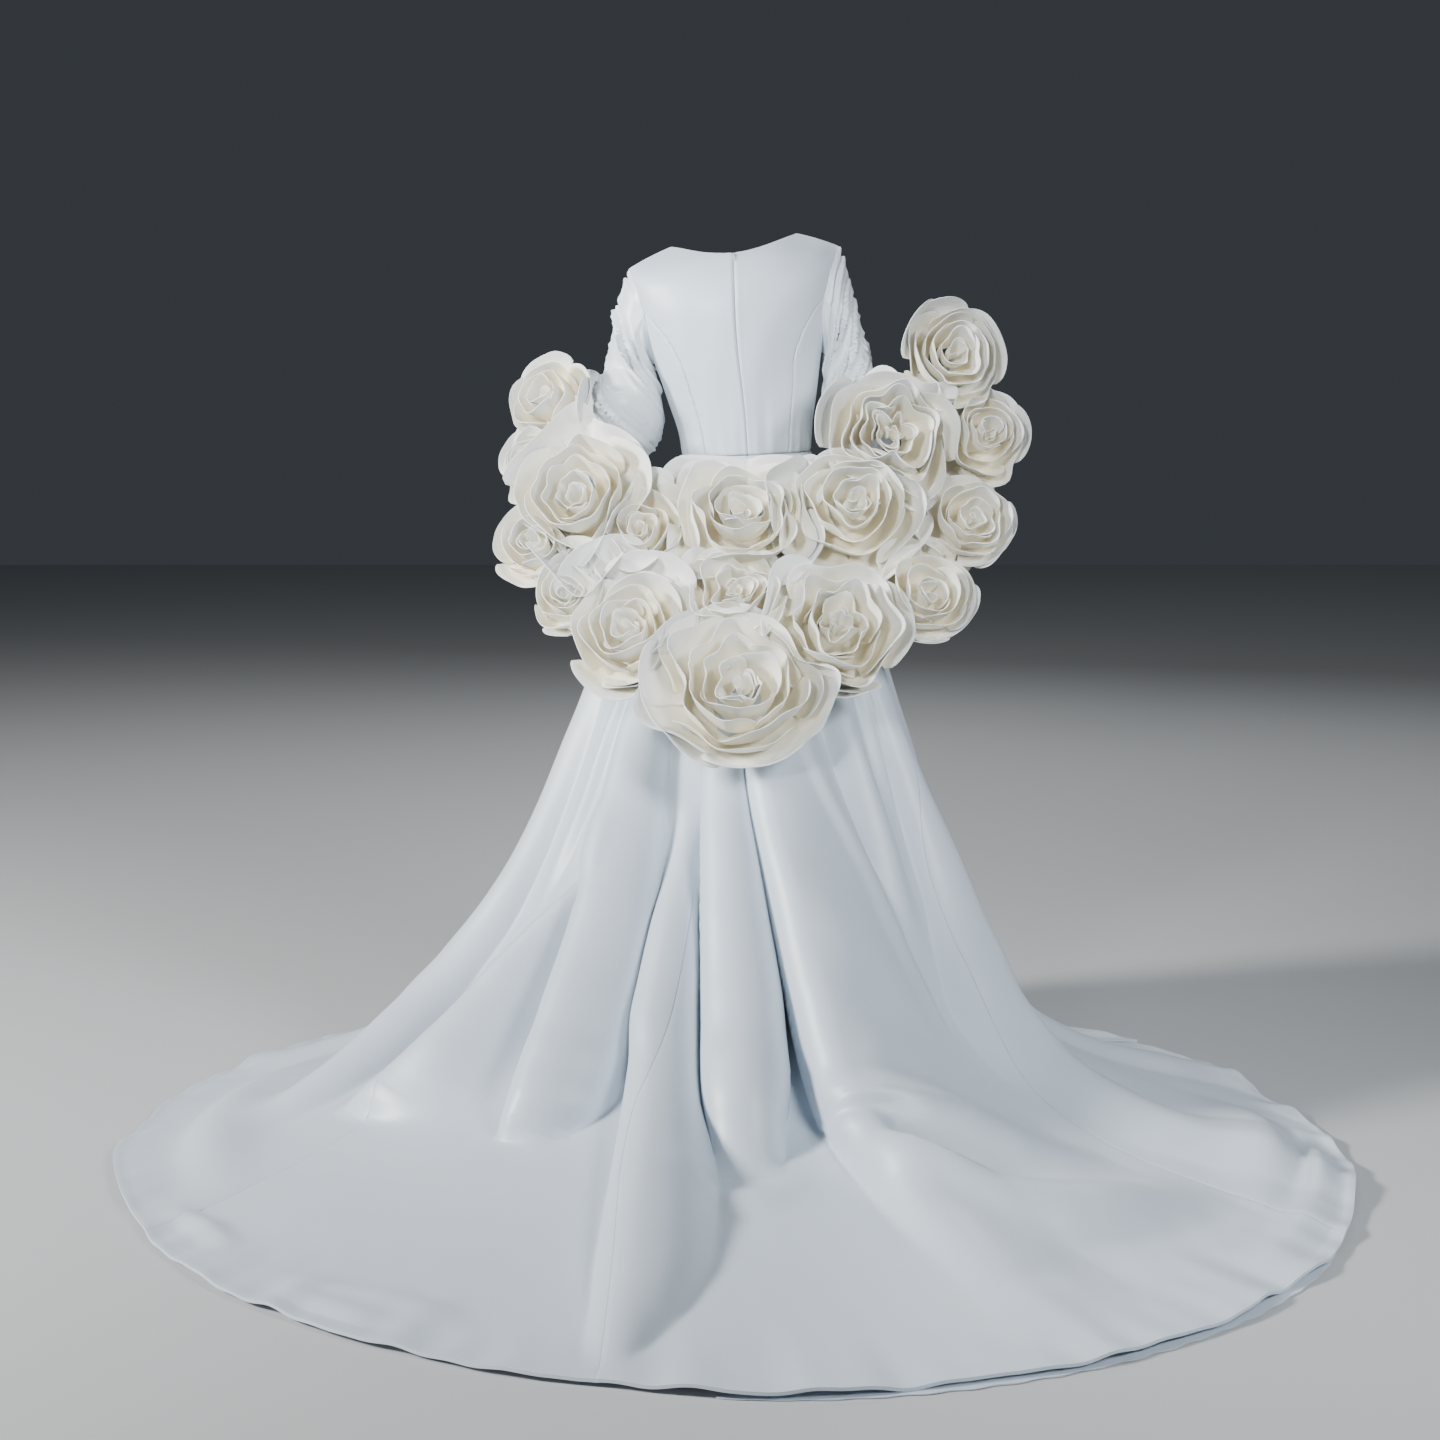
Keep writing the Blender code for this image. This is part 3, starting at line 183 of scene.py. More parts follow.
# The garland's backing lies over the crests of the skirt's folds, then swings out to the forearms.
# across, turn, top_along, bottom_along, out_x, out_y, out_z
BAND = np.array((
    (-1.00, -74, 0.010, 0.190, -0.255, -0.020, 0.215),
    (-0.80, -69, 0.020, 0.290, -0.215, 0.000, 0.150),
    (-0.60, -54, 0.030, 0.360, -0.135, 0.020, 0.060),
    (-0.40, -37, 0.035, 0.410, -0.050, 0.020, 0.010),
    (-0.20, -18, 0.035, 0.440, -0.006, 0.004, 0.000),
    (0.00, 0, 0.035, 0.455, 0.000, 0.000, 0.000),
    (0.20, 18, 0.035, 0.440, 0.006, 0.004, 0.000),
    (0.40, 37, 0.035, 0.400, 0.040, 0.020, 0.000),
    (0.60, 54, 0.030, 0.340, 0.110, 0.020, 0.030),
    (0.80, 68, 0.020, 0.280, 0.165, 0.000, 0.090),
    (1.00, 74, 0.010, 0.190, 0.200, -0.040, 0.140),
))
BAND_CLOTH = 0.0020
BAND_CLEAR = 0.0010  # from the crests of the folds to the backing

# Roses on the band: name, across, down, radius, height, spin in degrees, then how they differ:
# ruffle (0 smooth, 1 all in folds), folds round it, heart off centre as a share of the radius.
ROSES = (
    ("left_top", 1.000, 0.217, 0.095, 0.080, 20, 0.25, 4, 0.05),
    ("left_large", 0.650, 0.315, 0.143, 0.100, 75, 0.35, 6, 0.08),
    ("left_small", 0.450, 0.295, 0.088, 0.080, 140, 0.15, 4, 0.03),
    ("centre_top", 0.038, 0.197, 0.120, 0.090, 250, 0.50, 6, 0.04),
    ("right_centre", -0.450, 0.217, 0.124, 0.090, 10, 0.60, 5, 0.06),
    ("right_large", -0.600, 0.040, 0.125, 0.095, 100, 1.00, 6, 0.05),
    ("right_top", -0.912, 0.040, 0.105, 0.085, 305, 0.30, 4, 0.06),
    ("right_outer", -0.887, 0.512, 0.090, 0.075, 200, 0.25, 4, 0.08),
    ("right_lower_outer", -0.700, 0.630, 0.085, 0.070, 60, 0.35, 5, 0.08),
    ("right_low", -0.537, 0.708, 0.091, 0.070, 170, 0.30, 4, 0.10),
    ("lower_right", -0.300, 0.689, 0.124, 0.090, 330, 0.80, 6, 0.05),
    ("bottom", 0.012, 0.866, 0.149, 0.095, 40, 0.70, 6, 0.06),
    ("centre_middle", 0.038, 0.492, 0.087, 0.070, 215, 0.90, 5, 0.04),
    ("lower_left", 0.363, 0.728, 0.112, 0.085, 120, 0.45, 5, 0.06),
    ("left_low", 0.562, 0.728, 0.074, 0.065, 290, 0.25, 4, 0.06),
    ("left_side", 0.725, 0.708, 0.080, 0.065, 15, 0.35, 4, 0.06),
    ("left_middle", 0.938, 0.551, 0.069, 0.060, 95, 0.35, 4, 0.05),
)
ROSE_FOOT = 0.003  # from the backing to the petals' foot
LARGE_ROSE = 0.1  # radius over which a rose has more petals at a finer grain

# ---------------------------------------------------------------- what the solids leave out

# Finer folds and ripples, as in FOLDS and RIPPLES.
FINE_FOLDS = (
    ("train_ridge", 1.1, ((800, -22, 0, 2, 5), (830, -23.5, 16, 3, 8), (880, -25, 22, 3.5, 10),
        (930, -25.5, 17, 4, 11), (985, -25, 0, 4, 8))),
    ("left_crease", 1.2, ((300, 50, 0, 5, 4), (450, 54, 12, 5, 4), (560, 58, 10, 6, 4),
        (660, 66, 0, 5, 4))),
    ("panel_crease", 1.4, ((360, -14, 0, 4, 6), (460, -19, 12, 4, 8), (580, -31, 16, 5, 8),
        (680, -41, 12, 6, 8), (770, -52, 0, 6, 6))),
    ("right_crease", 1.2, ((140, -44, 0, 3, 3), (300, -47, 14, 4, 3), (440, -52, 12, 5, 4),
        (600, -56, 0, 5, 4))),
    ("tube_crease", 1.2, ((160, 22, 0, 3, 3), (300, 23, 12, 3, 4), (420, 23, 0, 3, 4))),
    ("tuck_left", 1.0, ((200, 10, 0, 2, 2), (340, 10, 14, 3, 3), (500, 9.4, 0, 2, 2))),
)
FINE_RIPPLES = (
    ("upper", 1.0, ((-60, 884, 0, 12, 30), (-46, 872, 13, 12, 34), (-33, 852, 15, 10, 30),
        (-26, 828, 12, 10, 24), (-20, 812, 0, 10, 20))),
    ("pucker", 1.0, ((-26, 806, 0, 8, 14), (-21, 799, 16, 8, 14), (-15, 792, 0, 8, 14))),
    ("pleat_foot", 1.0, ((-14, 826, 0, 10, 12), (-6, 836, 10, 10, 14), (2, 832, 8, 10, 14),
        (8, 820, 0, 10, 12))),
    ("right_edge", 1.2, ((-92, 950, 0, 20, 30), (-76, 955, 14, 20, 30), (-62, 960, 10, 20, 30),
        (-48, 965, 0, 20, 20))),
    ("left_edge", 1.1, ((22, 955, 0, 12, 20), (30, 950, 12, 14, 22), (38, 956, 6, 14, 20),
        (46, 962, 0, 12, 20))),
    ("left_edge_2", 1.1, ((26, 972, 0, 10, 14), (34, 976, 9, 12, 14), (42, 974, 0, 10, 14))),
    ("left_lump", 1.2, ((51, 950, 0, 12, 20), (57, 948, 12, 16, 22), (66, 955, 0, 12, 20))),
)
CRISP = 0.86  # 1 for a fold with a round crest, less for a peaked one
LEAN = 0.30  # how far a fold's flanks swell sideways, as a share of its rise
PUSH = 0.40  # how far a fold's crest is carried on towards the hem, as a share of its rise
SEAM_DIP, SEAM_DIP_WIDE = 0.0006, 0.0030
HEM_SWELL, HEM_SWELL_WIDE = 0.0030, 0.014  # the turned hem, over the cloth beside it
HEM_FLUTTER, HEM_FLUTTER_WIDE = 0.0030, 0.07
HEM_WANDER = 0.006  # how far the hem strays outwards and inwards
HEM_RUN = 1.5  # metres of cloth for one unit of along, near the hem
LAID_LEAST = 0.0012  # from the floor to the cloth's underside, and the least that it is thick
SKIRT_UNEVEN, SKIRT_WAVE = 0.0016, 0.09  # where the skirt hangs
# Where it lies on the floor: its height, how much that varies, wavelength, seed
LAID_WAVES = ((0.0032, 0.0026, 0.34, 12), (0.0008, 0.0005, 0.09, 13))
FOOT_ROWS = np.linspace(0.777, 0.843, 10)  # along: more rows where the folds end on the train
HEM_ROWS = 1 - np.array((0.002, 0.004, 0.007, 0.011))
SEAM_SHARES = (0.002, 0.005, 0.995, 0.998)  # of a gore's width: more columns beside its seams
SLEEVE_FOLDS = 70
SLEEVE_SUNK = 0.0030  # how much lower a ruched sleeve lies between its folds
BAND_PUCKER = 0.0016
BAND_SHADE = 0.8  # how far the backing takes the painted warm shade of the depth of a rose, for the shade between the roses

# ---------------------------------------------------------------- curves through tables

def smooth(stations, values, at):
    """A smooth curve through a table's values, read at any number of places."""
    stations, values = np.asarray(stations, float), np.asarray(values, float)
    step = np.diff(stations)
    rise = np.diff(values) / step
    slope = np.empty(len(stations))
    slope[0], slope[-1] = rise[0], rise[-1]
    slope[1:-1] = (rise[:-1] * step[1:] + rise[1:] * step[:-1]) / (step[:-1] + step[1:])
    at = np.clip(at, stations[0], stations[-1])
    i = np.clip(np.searchsorted(stations, at, side="right") - 1, 0, len(step) - 1)
    t = (at - stations[i]) / step[i]
    start, end = values[i], values[i + 1]
    leave, arrive = slope[i] * step[i], slope[i + 1] * step[i]
    square = 3 * (end - start) - 2 * leave - arrive
    cube = 2 * (start - end) + leave + arrive
    return start + t * (leave + t * (square + t * cube))


def smooth_round(angles, values, at):
    """The same, for values that repeat every 360 degrees."""
    angles = np.concatenate([angles[-2:] - 360, angles, angles[:2] + 360])
    values = np.concatenate([values[-2:], values, values[:2]])
    return smooth(angles, values, half_turn(at))


def columns(table, at):
    """Every column of a table after its first, read at the same places."""
    return [smooth(table[:, 0], table[:, k], at) for k in range(1, table.shape[1])]


def straight(table, at):
    """The same, with straight lines from row to row."""
    return [np.interp(at, table[:, 0], table[:, k]) for k in range(1, table.shape[1])]


def half_turn(angle):
    """An angle in degrees, brought between -180 and 180."""
    return (angle + 180) % 360 - 180


def unit(vectors):
    return vectors / np.maximum(np.linalg.norm(vectors, axis=-1, keepdims=True), 1e-12)


def normal_of(surface, turn, up):
    """The outward normal of a surface given by turn in degrees and up or along."""
    across = surface(turn + 0.05, up) - surface(turn - 0.05, up)
    down = surface(turn, np.minimum(up + 0.001, 1.0)) - surface(turn, np.maximum(up - 0.001, 0.0))
    return unit(np.cross(across, down))


# ---------------------------------------------------------------- shells

def waves(points, seed, wavelength, count=10):
    """Smooth irregular waves through space, about -1 to 1."""
    chance = np.random.default_rng(seed)
    total = 0
    for _ in range(count):
        way = chance.normal(size=points.shape[-1])
        way *= math.tau / (wavelength * chance.uniform(0.7, 1.6) * np.linalg.norm(way))
        total = total + np.cos(points @ way + chance.uniform(0, math.tau))
    return total / math.sqrt(count)


def lengths(points, axis):
    """The length along a grid of points from its first row, or its first column, in metres."""
    first = np.take(points, [0], axis)
    steps = np.linalg.norm(np.diff(points, axis=axis, prepend=first), axis=-1)
    return steps.cumsum(axis=axis)


def grid_normal(points):
    return unit(np.cross(np.gradient(points, axis=1), np.gradient(points, axis=0)))


class Shell:
    """Collects walls of cloth, each between two grids of points, into one piece."""

    def __init__(self):
        self.points, self.faces, self.cloth, self.depth, self.count = [], [], [], [], 0
        self.area = 0.0  # of one side of the cloth

    def add(self, outer, inner, depth=None, round_about=False):
        """One wall. How deep it lies in a rose, 0 to 1, sets how much painted warm shade its cloth
        gets.
        """
        rows, cols = outer.shape[:2]
        spans = cols if round_about else cols - 1
        index = np.arange(rows * cols).reshape(rows, cols) + self.count
        back = index + rows * cols
        column = np.arange(spans)
        after = (column + 1) % cols
        quads = []
        for top, bottom, flip in ((index, back, False), (back, index, True)):
            a, b = top[:-1][:, column], top[1:][:, column]
            c, d = top[1:][:, after], top[:-1][:, after]
            quads.append(np.stack([a, d, c, b] if flip else [a, b, c, d], -1).reshape(-1, 4))
        rims = [(index[0], back[0], column, after), (index[-1], back[-1], after, column)]
        if not round_about:
            row = np.arange(rows - 1)
            rims += [(index[:, 0], back[:, 0], row + 1, row),
                     (index[:, -1], back[:, -1], row, row + 1)]
        for face, behind, first, second in rims:
            quads.append(np.stack([face[first], face[second], behind[second], behind[first]], -1))
        self.faces.append(np.concatenate(quads))
        self.points += [outer.reshape(-1, 3), inner.reshape(-1, 3)]
        cloth = np.stack([lengths(outer, 1), lengths(outer, 0)], -1).reshape(-1, 2)
        self.cloth += [cloth, cloth]
        sides = np.cross(np.diff(outer, axis=0)[:, :-1], np.diff(outer, axis=1)[:-1])
        self.area += np.linalg.norm(sides, axis=-1).sum()
        depth = np.zeros(rows * cols) if depth is None else depth.reshape(-1)
        self.depth += [depth, depth]
        self.count += 2 * rows * cols

    def finish(self, name, material):
        points = np.concatenate(self.points) - (0, 0, HOLD_HEIGHT)
        faces = np.concatenate(self.faces)
        mesh = bpy.data.meshes.new(name)
        mesh.from_pydata(points.tolist(), [], faces.tolist())
        layer = mesh.uv_layers.new(name="cloth")
        corners = faces.reshape(-1)
        cloth = np.concatenate(self.cloth)[corners].astype(np.float32)
        layer.data.foreach_set("uv", cloth.reshape(-1))
        # painted warm shade: the cream that light bouncing between the petals gives the depths of a
        # rose
        depth = mesh.attributes.new("depth", "FLOAT", "POINT")
        depth.data.foreach_set("value", np.concatenate(self.depth).astype(np.float32))
        mesh.shade_smooth()
        mesh.set_sharp_from_angle(angle=math.radians(84))
        mesh.materials.append(material)
        piece = bpy.data.objects.new(name, mesh)
        bpy.context.scene.collection.objects.link(piece)
        return piece


def cloth_piece(node, shell, material, slot, cut, held, rests_on, *more_nodes):
    """Stands a shell in for its solid or solids. Its flat cut, width, length and area, is not used.
    """
    width, length, area = cut
    piece = shell.finish(node + "_cloth", material)
    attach(piece, "dress")
    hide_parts(node, *more_nodes)


# ---------------------------------------------------------------- skirt

def skirt_base(turn, along):
    """The skirt without its folds: a bell from the waist that spreads into a round train."""
    height, centre_x, centre_y, wide, deep = columns(SKIRT_RINGS, along)
    angle = np.radians(turn)
    side, behind = np.sin(angle), np.cos(angle)
    reach = 1 / np.sqrt((side / wide) ** 2 + (behind / deep) ** 2)
    laid = np.clip((along - TRAIN_START) / (1 - TRAIN_START), 0, 1) ** 1.3
    reach = reach * (1 + laid * (smooth_round(HEM_REACH[:, 0], HEM_REACH[:, 1], turn) - 1))
    waist_tilt = TORSO_RINGS[0, 7] * np.clip(1 - along / 0.2, 0, 1)
    height = height + waist_tilt * reach * side
    return np.stack([centre_x + reach * side, centre_y + reach * behind, height], -1)


def dip(distance, deep, wide):
    """How far out a soft groove lies, at a distance from its middle."""
    return -deep * np.exp(-(distance / wide) ** 2)


def bump(offset, roundness):
    """The height of a fold, 1 at its crest, at a share of the way out to its foot."""
    return np.cos(math.pi / 2 * np.clip(np.abs(offset), 0, 1) ** CRISP) ** roundness


def flanks(rows, units, at, offset_from):
    """For each fold or ripple: roundness, rise, and how far out on its flank a place lies."""
    for _, roundness, stations in rows:
        table = np.array(stations) / units
        middle, rise, left, right = columns(table, at)
        rise = np.where((at > table[0, 0]) & (at <= table[-1, 0]), np.maximum(rise, 0), 0)
        offset = offset_from(middle)
        yield roundness, rise, offset / np.where(offset > 0, left, right)


def fold_flanks(folds, turn, along):
    return flanks(folds, FOLD_UNITS, along, lambda middle: half_turn(turn - middle))


def fold_rise(turn, along, folds=FOLDS, ripples=RIPPLES):
    """How far the folds and ripples lift the skirt off its plain shape."""
    total = np.zeros(np.broadcast(turn, along).shape)
    for found in (fold_flanks(folds, turn, along),
                  flanks(ripples, RIPPLE_UNITS, turn, lambda middle: middle - along)):
        for roundness, rise, share in found:
            total = total + rise * bump(share, roundness)
    return total


def fold_lean(turn, along):
    """How far the flanks of the folds swell sideways, towards the wearer's left."""
    total = np.zeros(np.broadcast(turn, along).shape)
    for roundness, rise, share in fold_flanks(FOLDS, turn, along):
        total = total + LEAN / roundness * rise * np.sin(math.pi * np.clip(share, -1, 1))
    return total


def skirt_reach(turn, along):
    """Metres from the skirt's middle line out to its cloth, seen from above."""
    centre = np.stack(columns(SKIRT_RINGS, along)[1:3], -1)
    return np.linalg.norm(skirt_base(turn, along)[..., :2] - centre, axis=-1)


def seam_offset(turn, along):
    """Metres along the cloth to the nearest seam of the skirt."""
    sides = [side * seam for side in (1, -1) for seam in SIDE_SEAMS]
    offsets = [half_turn(turn - seam) for seam in (columns(BACK_SEAM, along)[0], *sides)]
    return np.radians(np.min(np.abs(np.array(offsets)), axis=0)) * skirt_reach(turn, along)


def skirt_cloth(turn, along):
    """The skirt with its smaller folds, seams and puckers, as points, and the swell of its hem."""
    plain = skirt_base(turn, along)
    normal = normal_of(skirt_base, turn, along)
    tangent = unit(skirt_base(turn + 0.05, along) - skirt_base(turn - 0.05, along))
    ahead, behind = np.minimum(along + 0.004, 1), np.minimum(along, 0.996)
    onward = unit(skirt_base(turn, ahead) - skirt_base(turn, behind))
    standing = np.clip((0.84 - along) / 0.10, 0, 1)
    near_hem = np.clip((along - 0.90) / 0.10, 0, 1)
    loose = np.clip(along / 0.3, 0, 1)
    main = fold_rise(turn, along)
    lift = main + fold_rise(turn, along, FINE_FOLDS, FINE_RIPPLES)
    lift = lift + loose * standing * SKIRT_UNEVEN * waves(plain * (1, 1, 0.35), 11, SKIRT_WAVE)
    for (high, uneven, wavelength, seed), calm in zip(LAID_WAVES, (0.6 * near_hem, 0)):
        lift = lift + (1 - standing) * (high + uneven * waves(plain, seed, wavelength)) * (1 - calm)
    from_hem = (1 - along) * HEM_RUN
    flutter = waves(np.stack([turn / 5.0, 0.4 * along], -1), 14, 1.0)
    lift = lift + np.exp(-(from_hem / HEM_FLUTTER_WIDE) ** 2) * HEM_FLUTTER * (1 + flutter)
    lift = lift + dip(seam_offset(turn, along), SEAM_DIP, SEAM_DIP_WIDE)
    swell = -dip(from_hem, HEM_SWELL, HEM_SWELL_WIDE)
    wander = HEM_WANDER * near_hem ** 3 * waves(np.stack([turn / 14.0, 0 * along], -1), 15, 1.0)
    away = (plain - (*SKIRT_RINGS[-1, 2:4], 0)) * (1, 1, 0)
    points = plain + normal * lift[..., None] + tangent * fold_lean(turn, along)[..., None]
    pushed = PUSH * main * np.clip(along / 0.4, 0, 1) * (1 - near_hem)
    return points + onward * pushed[..., None] + unit(away) * wander[..., None], swell


def gore_edge(seam, along, side):
    """The turn of a seam, held half a seam gap back on one side of it."""
    turn = columns(BACK_SEAM, along)[0] if seam == "back" else seam + 0 * along
    return turn + side * np.degrees(SEAM_GAP * 0.6 / skirt_reach(turn, along))


def make_skirt():
    side_in, side_out = SIDE_SEAMS
    gores = (
        # name, seam on the wearer's right, seam on their left, columns, rows, cut
        ("skirt_back_left", "back", side_in, 130, 180, (0.95, 2.05, 1.04)),
        ("skirt_side_left", side_in, side_out, 90, 120, (1.20, 1.87, 0.88)),
        ("skirt_front", side_out, 360 - side_out, 90, 120, (1.80, 1.50, 0.96)),
        ("skirt_side_right", -side_out, -side_in, 90, 120, (1.18, 1.88, 0.88)),
        ("skirt_back_right", -side_in, "back", 160, 180, (1.36, 2.11, 1.52)),
    )
    for name, first, last, cols, rows, cut in gores:
        even = np.linspace(0, 1, rows)
        along = even + 0.035 * np.sin(math.tau * even) / math.tau
        along = np.sort(np.concatenate([along, FOOT_ROWS, HEM_ROWS]))
        low, high = gore_edge(first, along, 1), gore_edge(last, along, -1)
        share = np.sort(np.concatenate([np.linspace(0, 1, cols + 1), SEAM_SHARES]))
        turn = low[:, None] + (high - low)[:, None] * share
        grid = np.repeat(along[:, None], len(share), axis=1)
        middle, swell = skirt_cloth(turn, grid)
        normal = -grid_normal(middle)
        normal *= np.sign((normal * normal_of(skirt_base, turn, grid)).sum(axis=-1, keepdims=True))
        outer, inner = middle + normal * swell[..., None], middle - normal * CLOTH
        inner[..., 2] = np.maximum(inner[..., 2], LAID_LEAST)
        outer[..., 2] = np.maximum(outer[..., 2], inner[..., 2] + LAID_LEAST)
        shell = Shell()
        shell.add(outer, inner)
        cloth_piece(name, shell, satin_white, "satin", cut, "hung", ["bodice_front"])


def make_hem_facing():
    """The edge of the facing, which shows under the train on the wearer's right."""
    turn = np.linspace(-58, 2, 160)
    share = np.linspace(0, math.pi, len(turn))
    rows = []
    for inward in np.linspace(0, 1, 8):
        edge = skirt_base(turn, np.ones_like(turn))
        away = unit((edge - (*SKIRT_RINGS[-1, 2:4], 0)) * (1, 1, 0))
        out = 0.012 - 0.037 * inward + 0.002 * np.sin(turn * 1.9) * (1 - inward)
        edge = edge + away * (out * np.sin(share) ** 0.5)[:, None]
        edge[:, 2] = 0.0019 + 0.0003 * inward
        rows.append(edge)
    outer = np.array(rows)
    shell = Shell()
    shell.add(outer, outer - (0, 0, FACING_CLOTH))
    cloth_piece("hem_facing", shell, satin_white, "satin", (0.04, 1.13, 0.033), "laid",
                ["skirt_back_right"])


# ---------------------------------------------------------------- bodice

def torso(turn, up):
    """The fitted body of the dress. turn is 0 at the centre back and 180 at the centre front."""
    turn, up = np.broadcast_arrays(np.asarray(turn, float), np.asarray(up, float))
    height, centre_x, wide, back, front, drop, tilt = columns(TORSO_RINGS, up)
    side, behind = np.sin(np.radians(turn)), np.cos(np.radians(turn))
    from_front = np.abs((turn % 360) - 180)
    bust = BUST_RISE * np.exp(-((from_front - BUST_TURN) / 22) ** 2 - ((up - BUST_UP) / 0.17) ** 2)
    deep = np.where(behind > 0, back, front + bust)
    across = wide * side
    height = height - drop * side ** 2 + tilt * across
    return np.stack([centre_x + across, deep * behind, height], -1)


def on_side(turn, front, left):
    """A turn from the centre line of the back or the front, for the chosen quarter of the body."""
    turn = 180 - turn if front else turn
    return turn if left else -turn


SEAM_UP = np.linspace(0, PRINCESS_TOP, 60)
ARM_UP = np.linspace(PRINCESS_TOP, 1, 17)[1:]
CENTRE_SHARES = np.concatenate([
    np.linspace(0, 0.06, 7), np.linspace(0.06, NECK_CORNER, 20)[1:],
    np.linspace(NECK_CORNER, 0.94, 18)[1:], np.linspace(0.94, 1, 5)[1:],
])
SIDE_SHARES = np.concatenate([np.linspace(0, 0.12, 5), np.linspace(0.12, 1, 22)[1:]])
HALF_GAP_TURN = 0.08  # degrees that hold a panel's edge half a seam gap back
BODICE_ROUND = 0.125  # metres, its radius where seams are measured


def bodice_relief(turn, up):
    """Seams, the zip's lips and the drag of the cloth, as metres out of the plain torso."""
    round_back = np.abs(half_turn(turn))
    back = round_back < 90
    from_centre = np.where(back, round_back, 180 - round_back)
    metres = np.radians(1) * BODICE_ROUND
    princess = (from_centre - columns(PRINCESS_EDGE, up)[0]) * metres
    princess = np.where(up < PRINCESS_TOP, princess, 1)
    relief = dip(princess, 0.0019, 0.0026) + dip((from_centre - 90) * metres, 0.0010, 0.0022)
    relief += dip(up * 0.4, 0.0020, 0.0045)
    centre = np.where(back, from_centre * metres, 1)
    relief += dip(centre, 0.0024, 0.0015) - dip(centre - 0.0050, 0.0004, 0.0028)
    pull = np.stack([turn / 9.0, up * 1.1], -1)
    low = np.exp(-(up / 0.22) ** 2)
    slow = np.stack([turn / 30, up * 3], -1)
    relief += 0.0011 * low * waves(pull, 21, 1.0) + 0.0007 * waves(slow, 22, 1.0)
    ruck = np.exp(-(princess / 0.020) ** 2) * np.sin(up * 95 + 2 * np.sin(up * 23))
    return relief + 0.00035 * ruck


def torso_cloth(turn, up):
    """The bodice's cloth, its outer and inner points. Back and front part at the shoulder seam."""
    normal = -normal_of(torso, turn, up)
    shoulder = up >= 1
    normal[shoulder, 1] = 0
    normal = unit(normal)
    outer = torso(turn, up)
    outer[shoulder, 1] += np.where(np.cos(np.radians(turn[shoulder])) > 0, 1, -1) * SEAM_GAP / 2
    outer = outer + normal * np.where(shoulder, 0, bodice_relief(turn, up))[..., None]
    return outer, outer - normal * CLOTH


def centre_panel(front, left):
    """The quarter from the centre line to the princess seam, as (turn, up)."""
    up_edge = np.concatenate([SEAM_UP, ARM_UP])
    neck = FRONT_NECK if front else BACK_NECK
    to_corner = np.clip(CENTRE_SHARES / NECK_CORNER, 0, 1)
    top = neck + (1 - neck) * to_corner ** 1.6
    up = up_edge[:, None] * top
    reach = columns(PRINCESS_EDGE, up_edge)[0] - HALF_GAP_TURN
    inset = 0 if front else HALF_GAP_TURN
    turn = inset + (reach[:, None] - inset) * CENTRE_SHARES
    return on_side(turn, front, left), up


def side_panel(front, left):
    """The quarter from the princess seam to the side seam, as (turn, up)."""
    start_turn = columns(PRINCESS_EDGE, SEAM_UP)[0] + HALF_GAP_TURN
    end_up = SEAM_UP * (UNDERARM / PRINCESS_TOP)
    turn = start_turn[:, None] + (90 - HALF_GAP_TURN - start_turn)[:, None] * SIDE_SHARES
    up = SEAM_UP[:, None] + (end_up - SEAM_UP)[:, None] * SIDE_SHARES
    hollow = columns(ARMHOLE_EDGE, up[-1])[0] - turn[-1]
    hollow[0] = hollow[-1] = 0
    turn = turn + hollow * (SEAM_UP / PRINCESS_TOP)[:, None] ** 3
    return on_side(turn, front, left), up


def bodice_piece(name, turn, up, cut, rests_on="bodice_front"):
    shell = Shell()
    shell.add(*torso_cloth(turn, up))
    cloth_piece(name, shell, satin_white, "satin", cut, "stretched", [rests_on])


def make_bodice():
    for side, left in (("left", True), ("right", False)):
        for name, front in (("bodice_side_back_", False), ("bodice_side_front_", True)):
            bodice_piece(name + side, *side_panel(front, left), (0.13, 0.32, 0.024))
        bodice_piece("bodice_back_" + side, *centre_panel(False, left), (0.225, 0.45, 0.056))
    left_turn, up = centre_panel(True, True)
    right_turn, _ = centre_panel(True, False)
    turn = np.concatenate([left_turn[:, ::-1], right_turn[:, 1:] + 360], axis=1)
    up = np.concatenate([up[:, ::-1], up[:, 1:]], axis=1)
    bodice_piece("bodice_front", turn, up, (0.47, 0.46, 0.108), "bodice_back_left")


# ---------------------------------------------------------------- sleeves

def armhole_loop(left):
    """The armhole as (turn, up): underarm, up the back to the shoulder, down the front."""
    side_up = np.linspace(UNDERARM, PRINCESS_TOP, 26)
    back_turn = np.append(columns(ARMHOLE_EDGE, side_up)[0], columns(PRINCESS_EDGE, ARM_UP)[0])
    back_up = np.concatenate([side_up, ARM_UP])
    turn = np.concatenate([back_turn, 180 - back_turn[-2:0:-1]])
    up = np.concatenate([back_up, back_up[-2:0:-1]])
    return on_side(turn, False, left), up


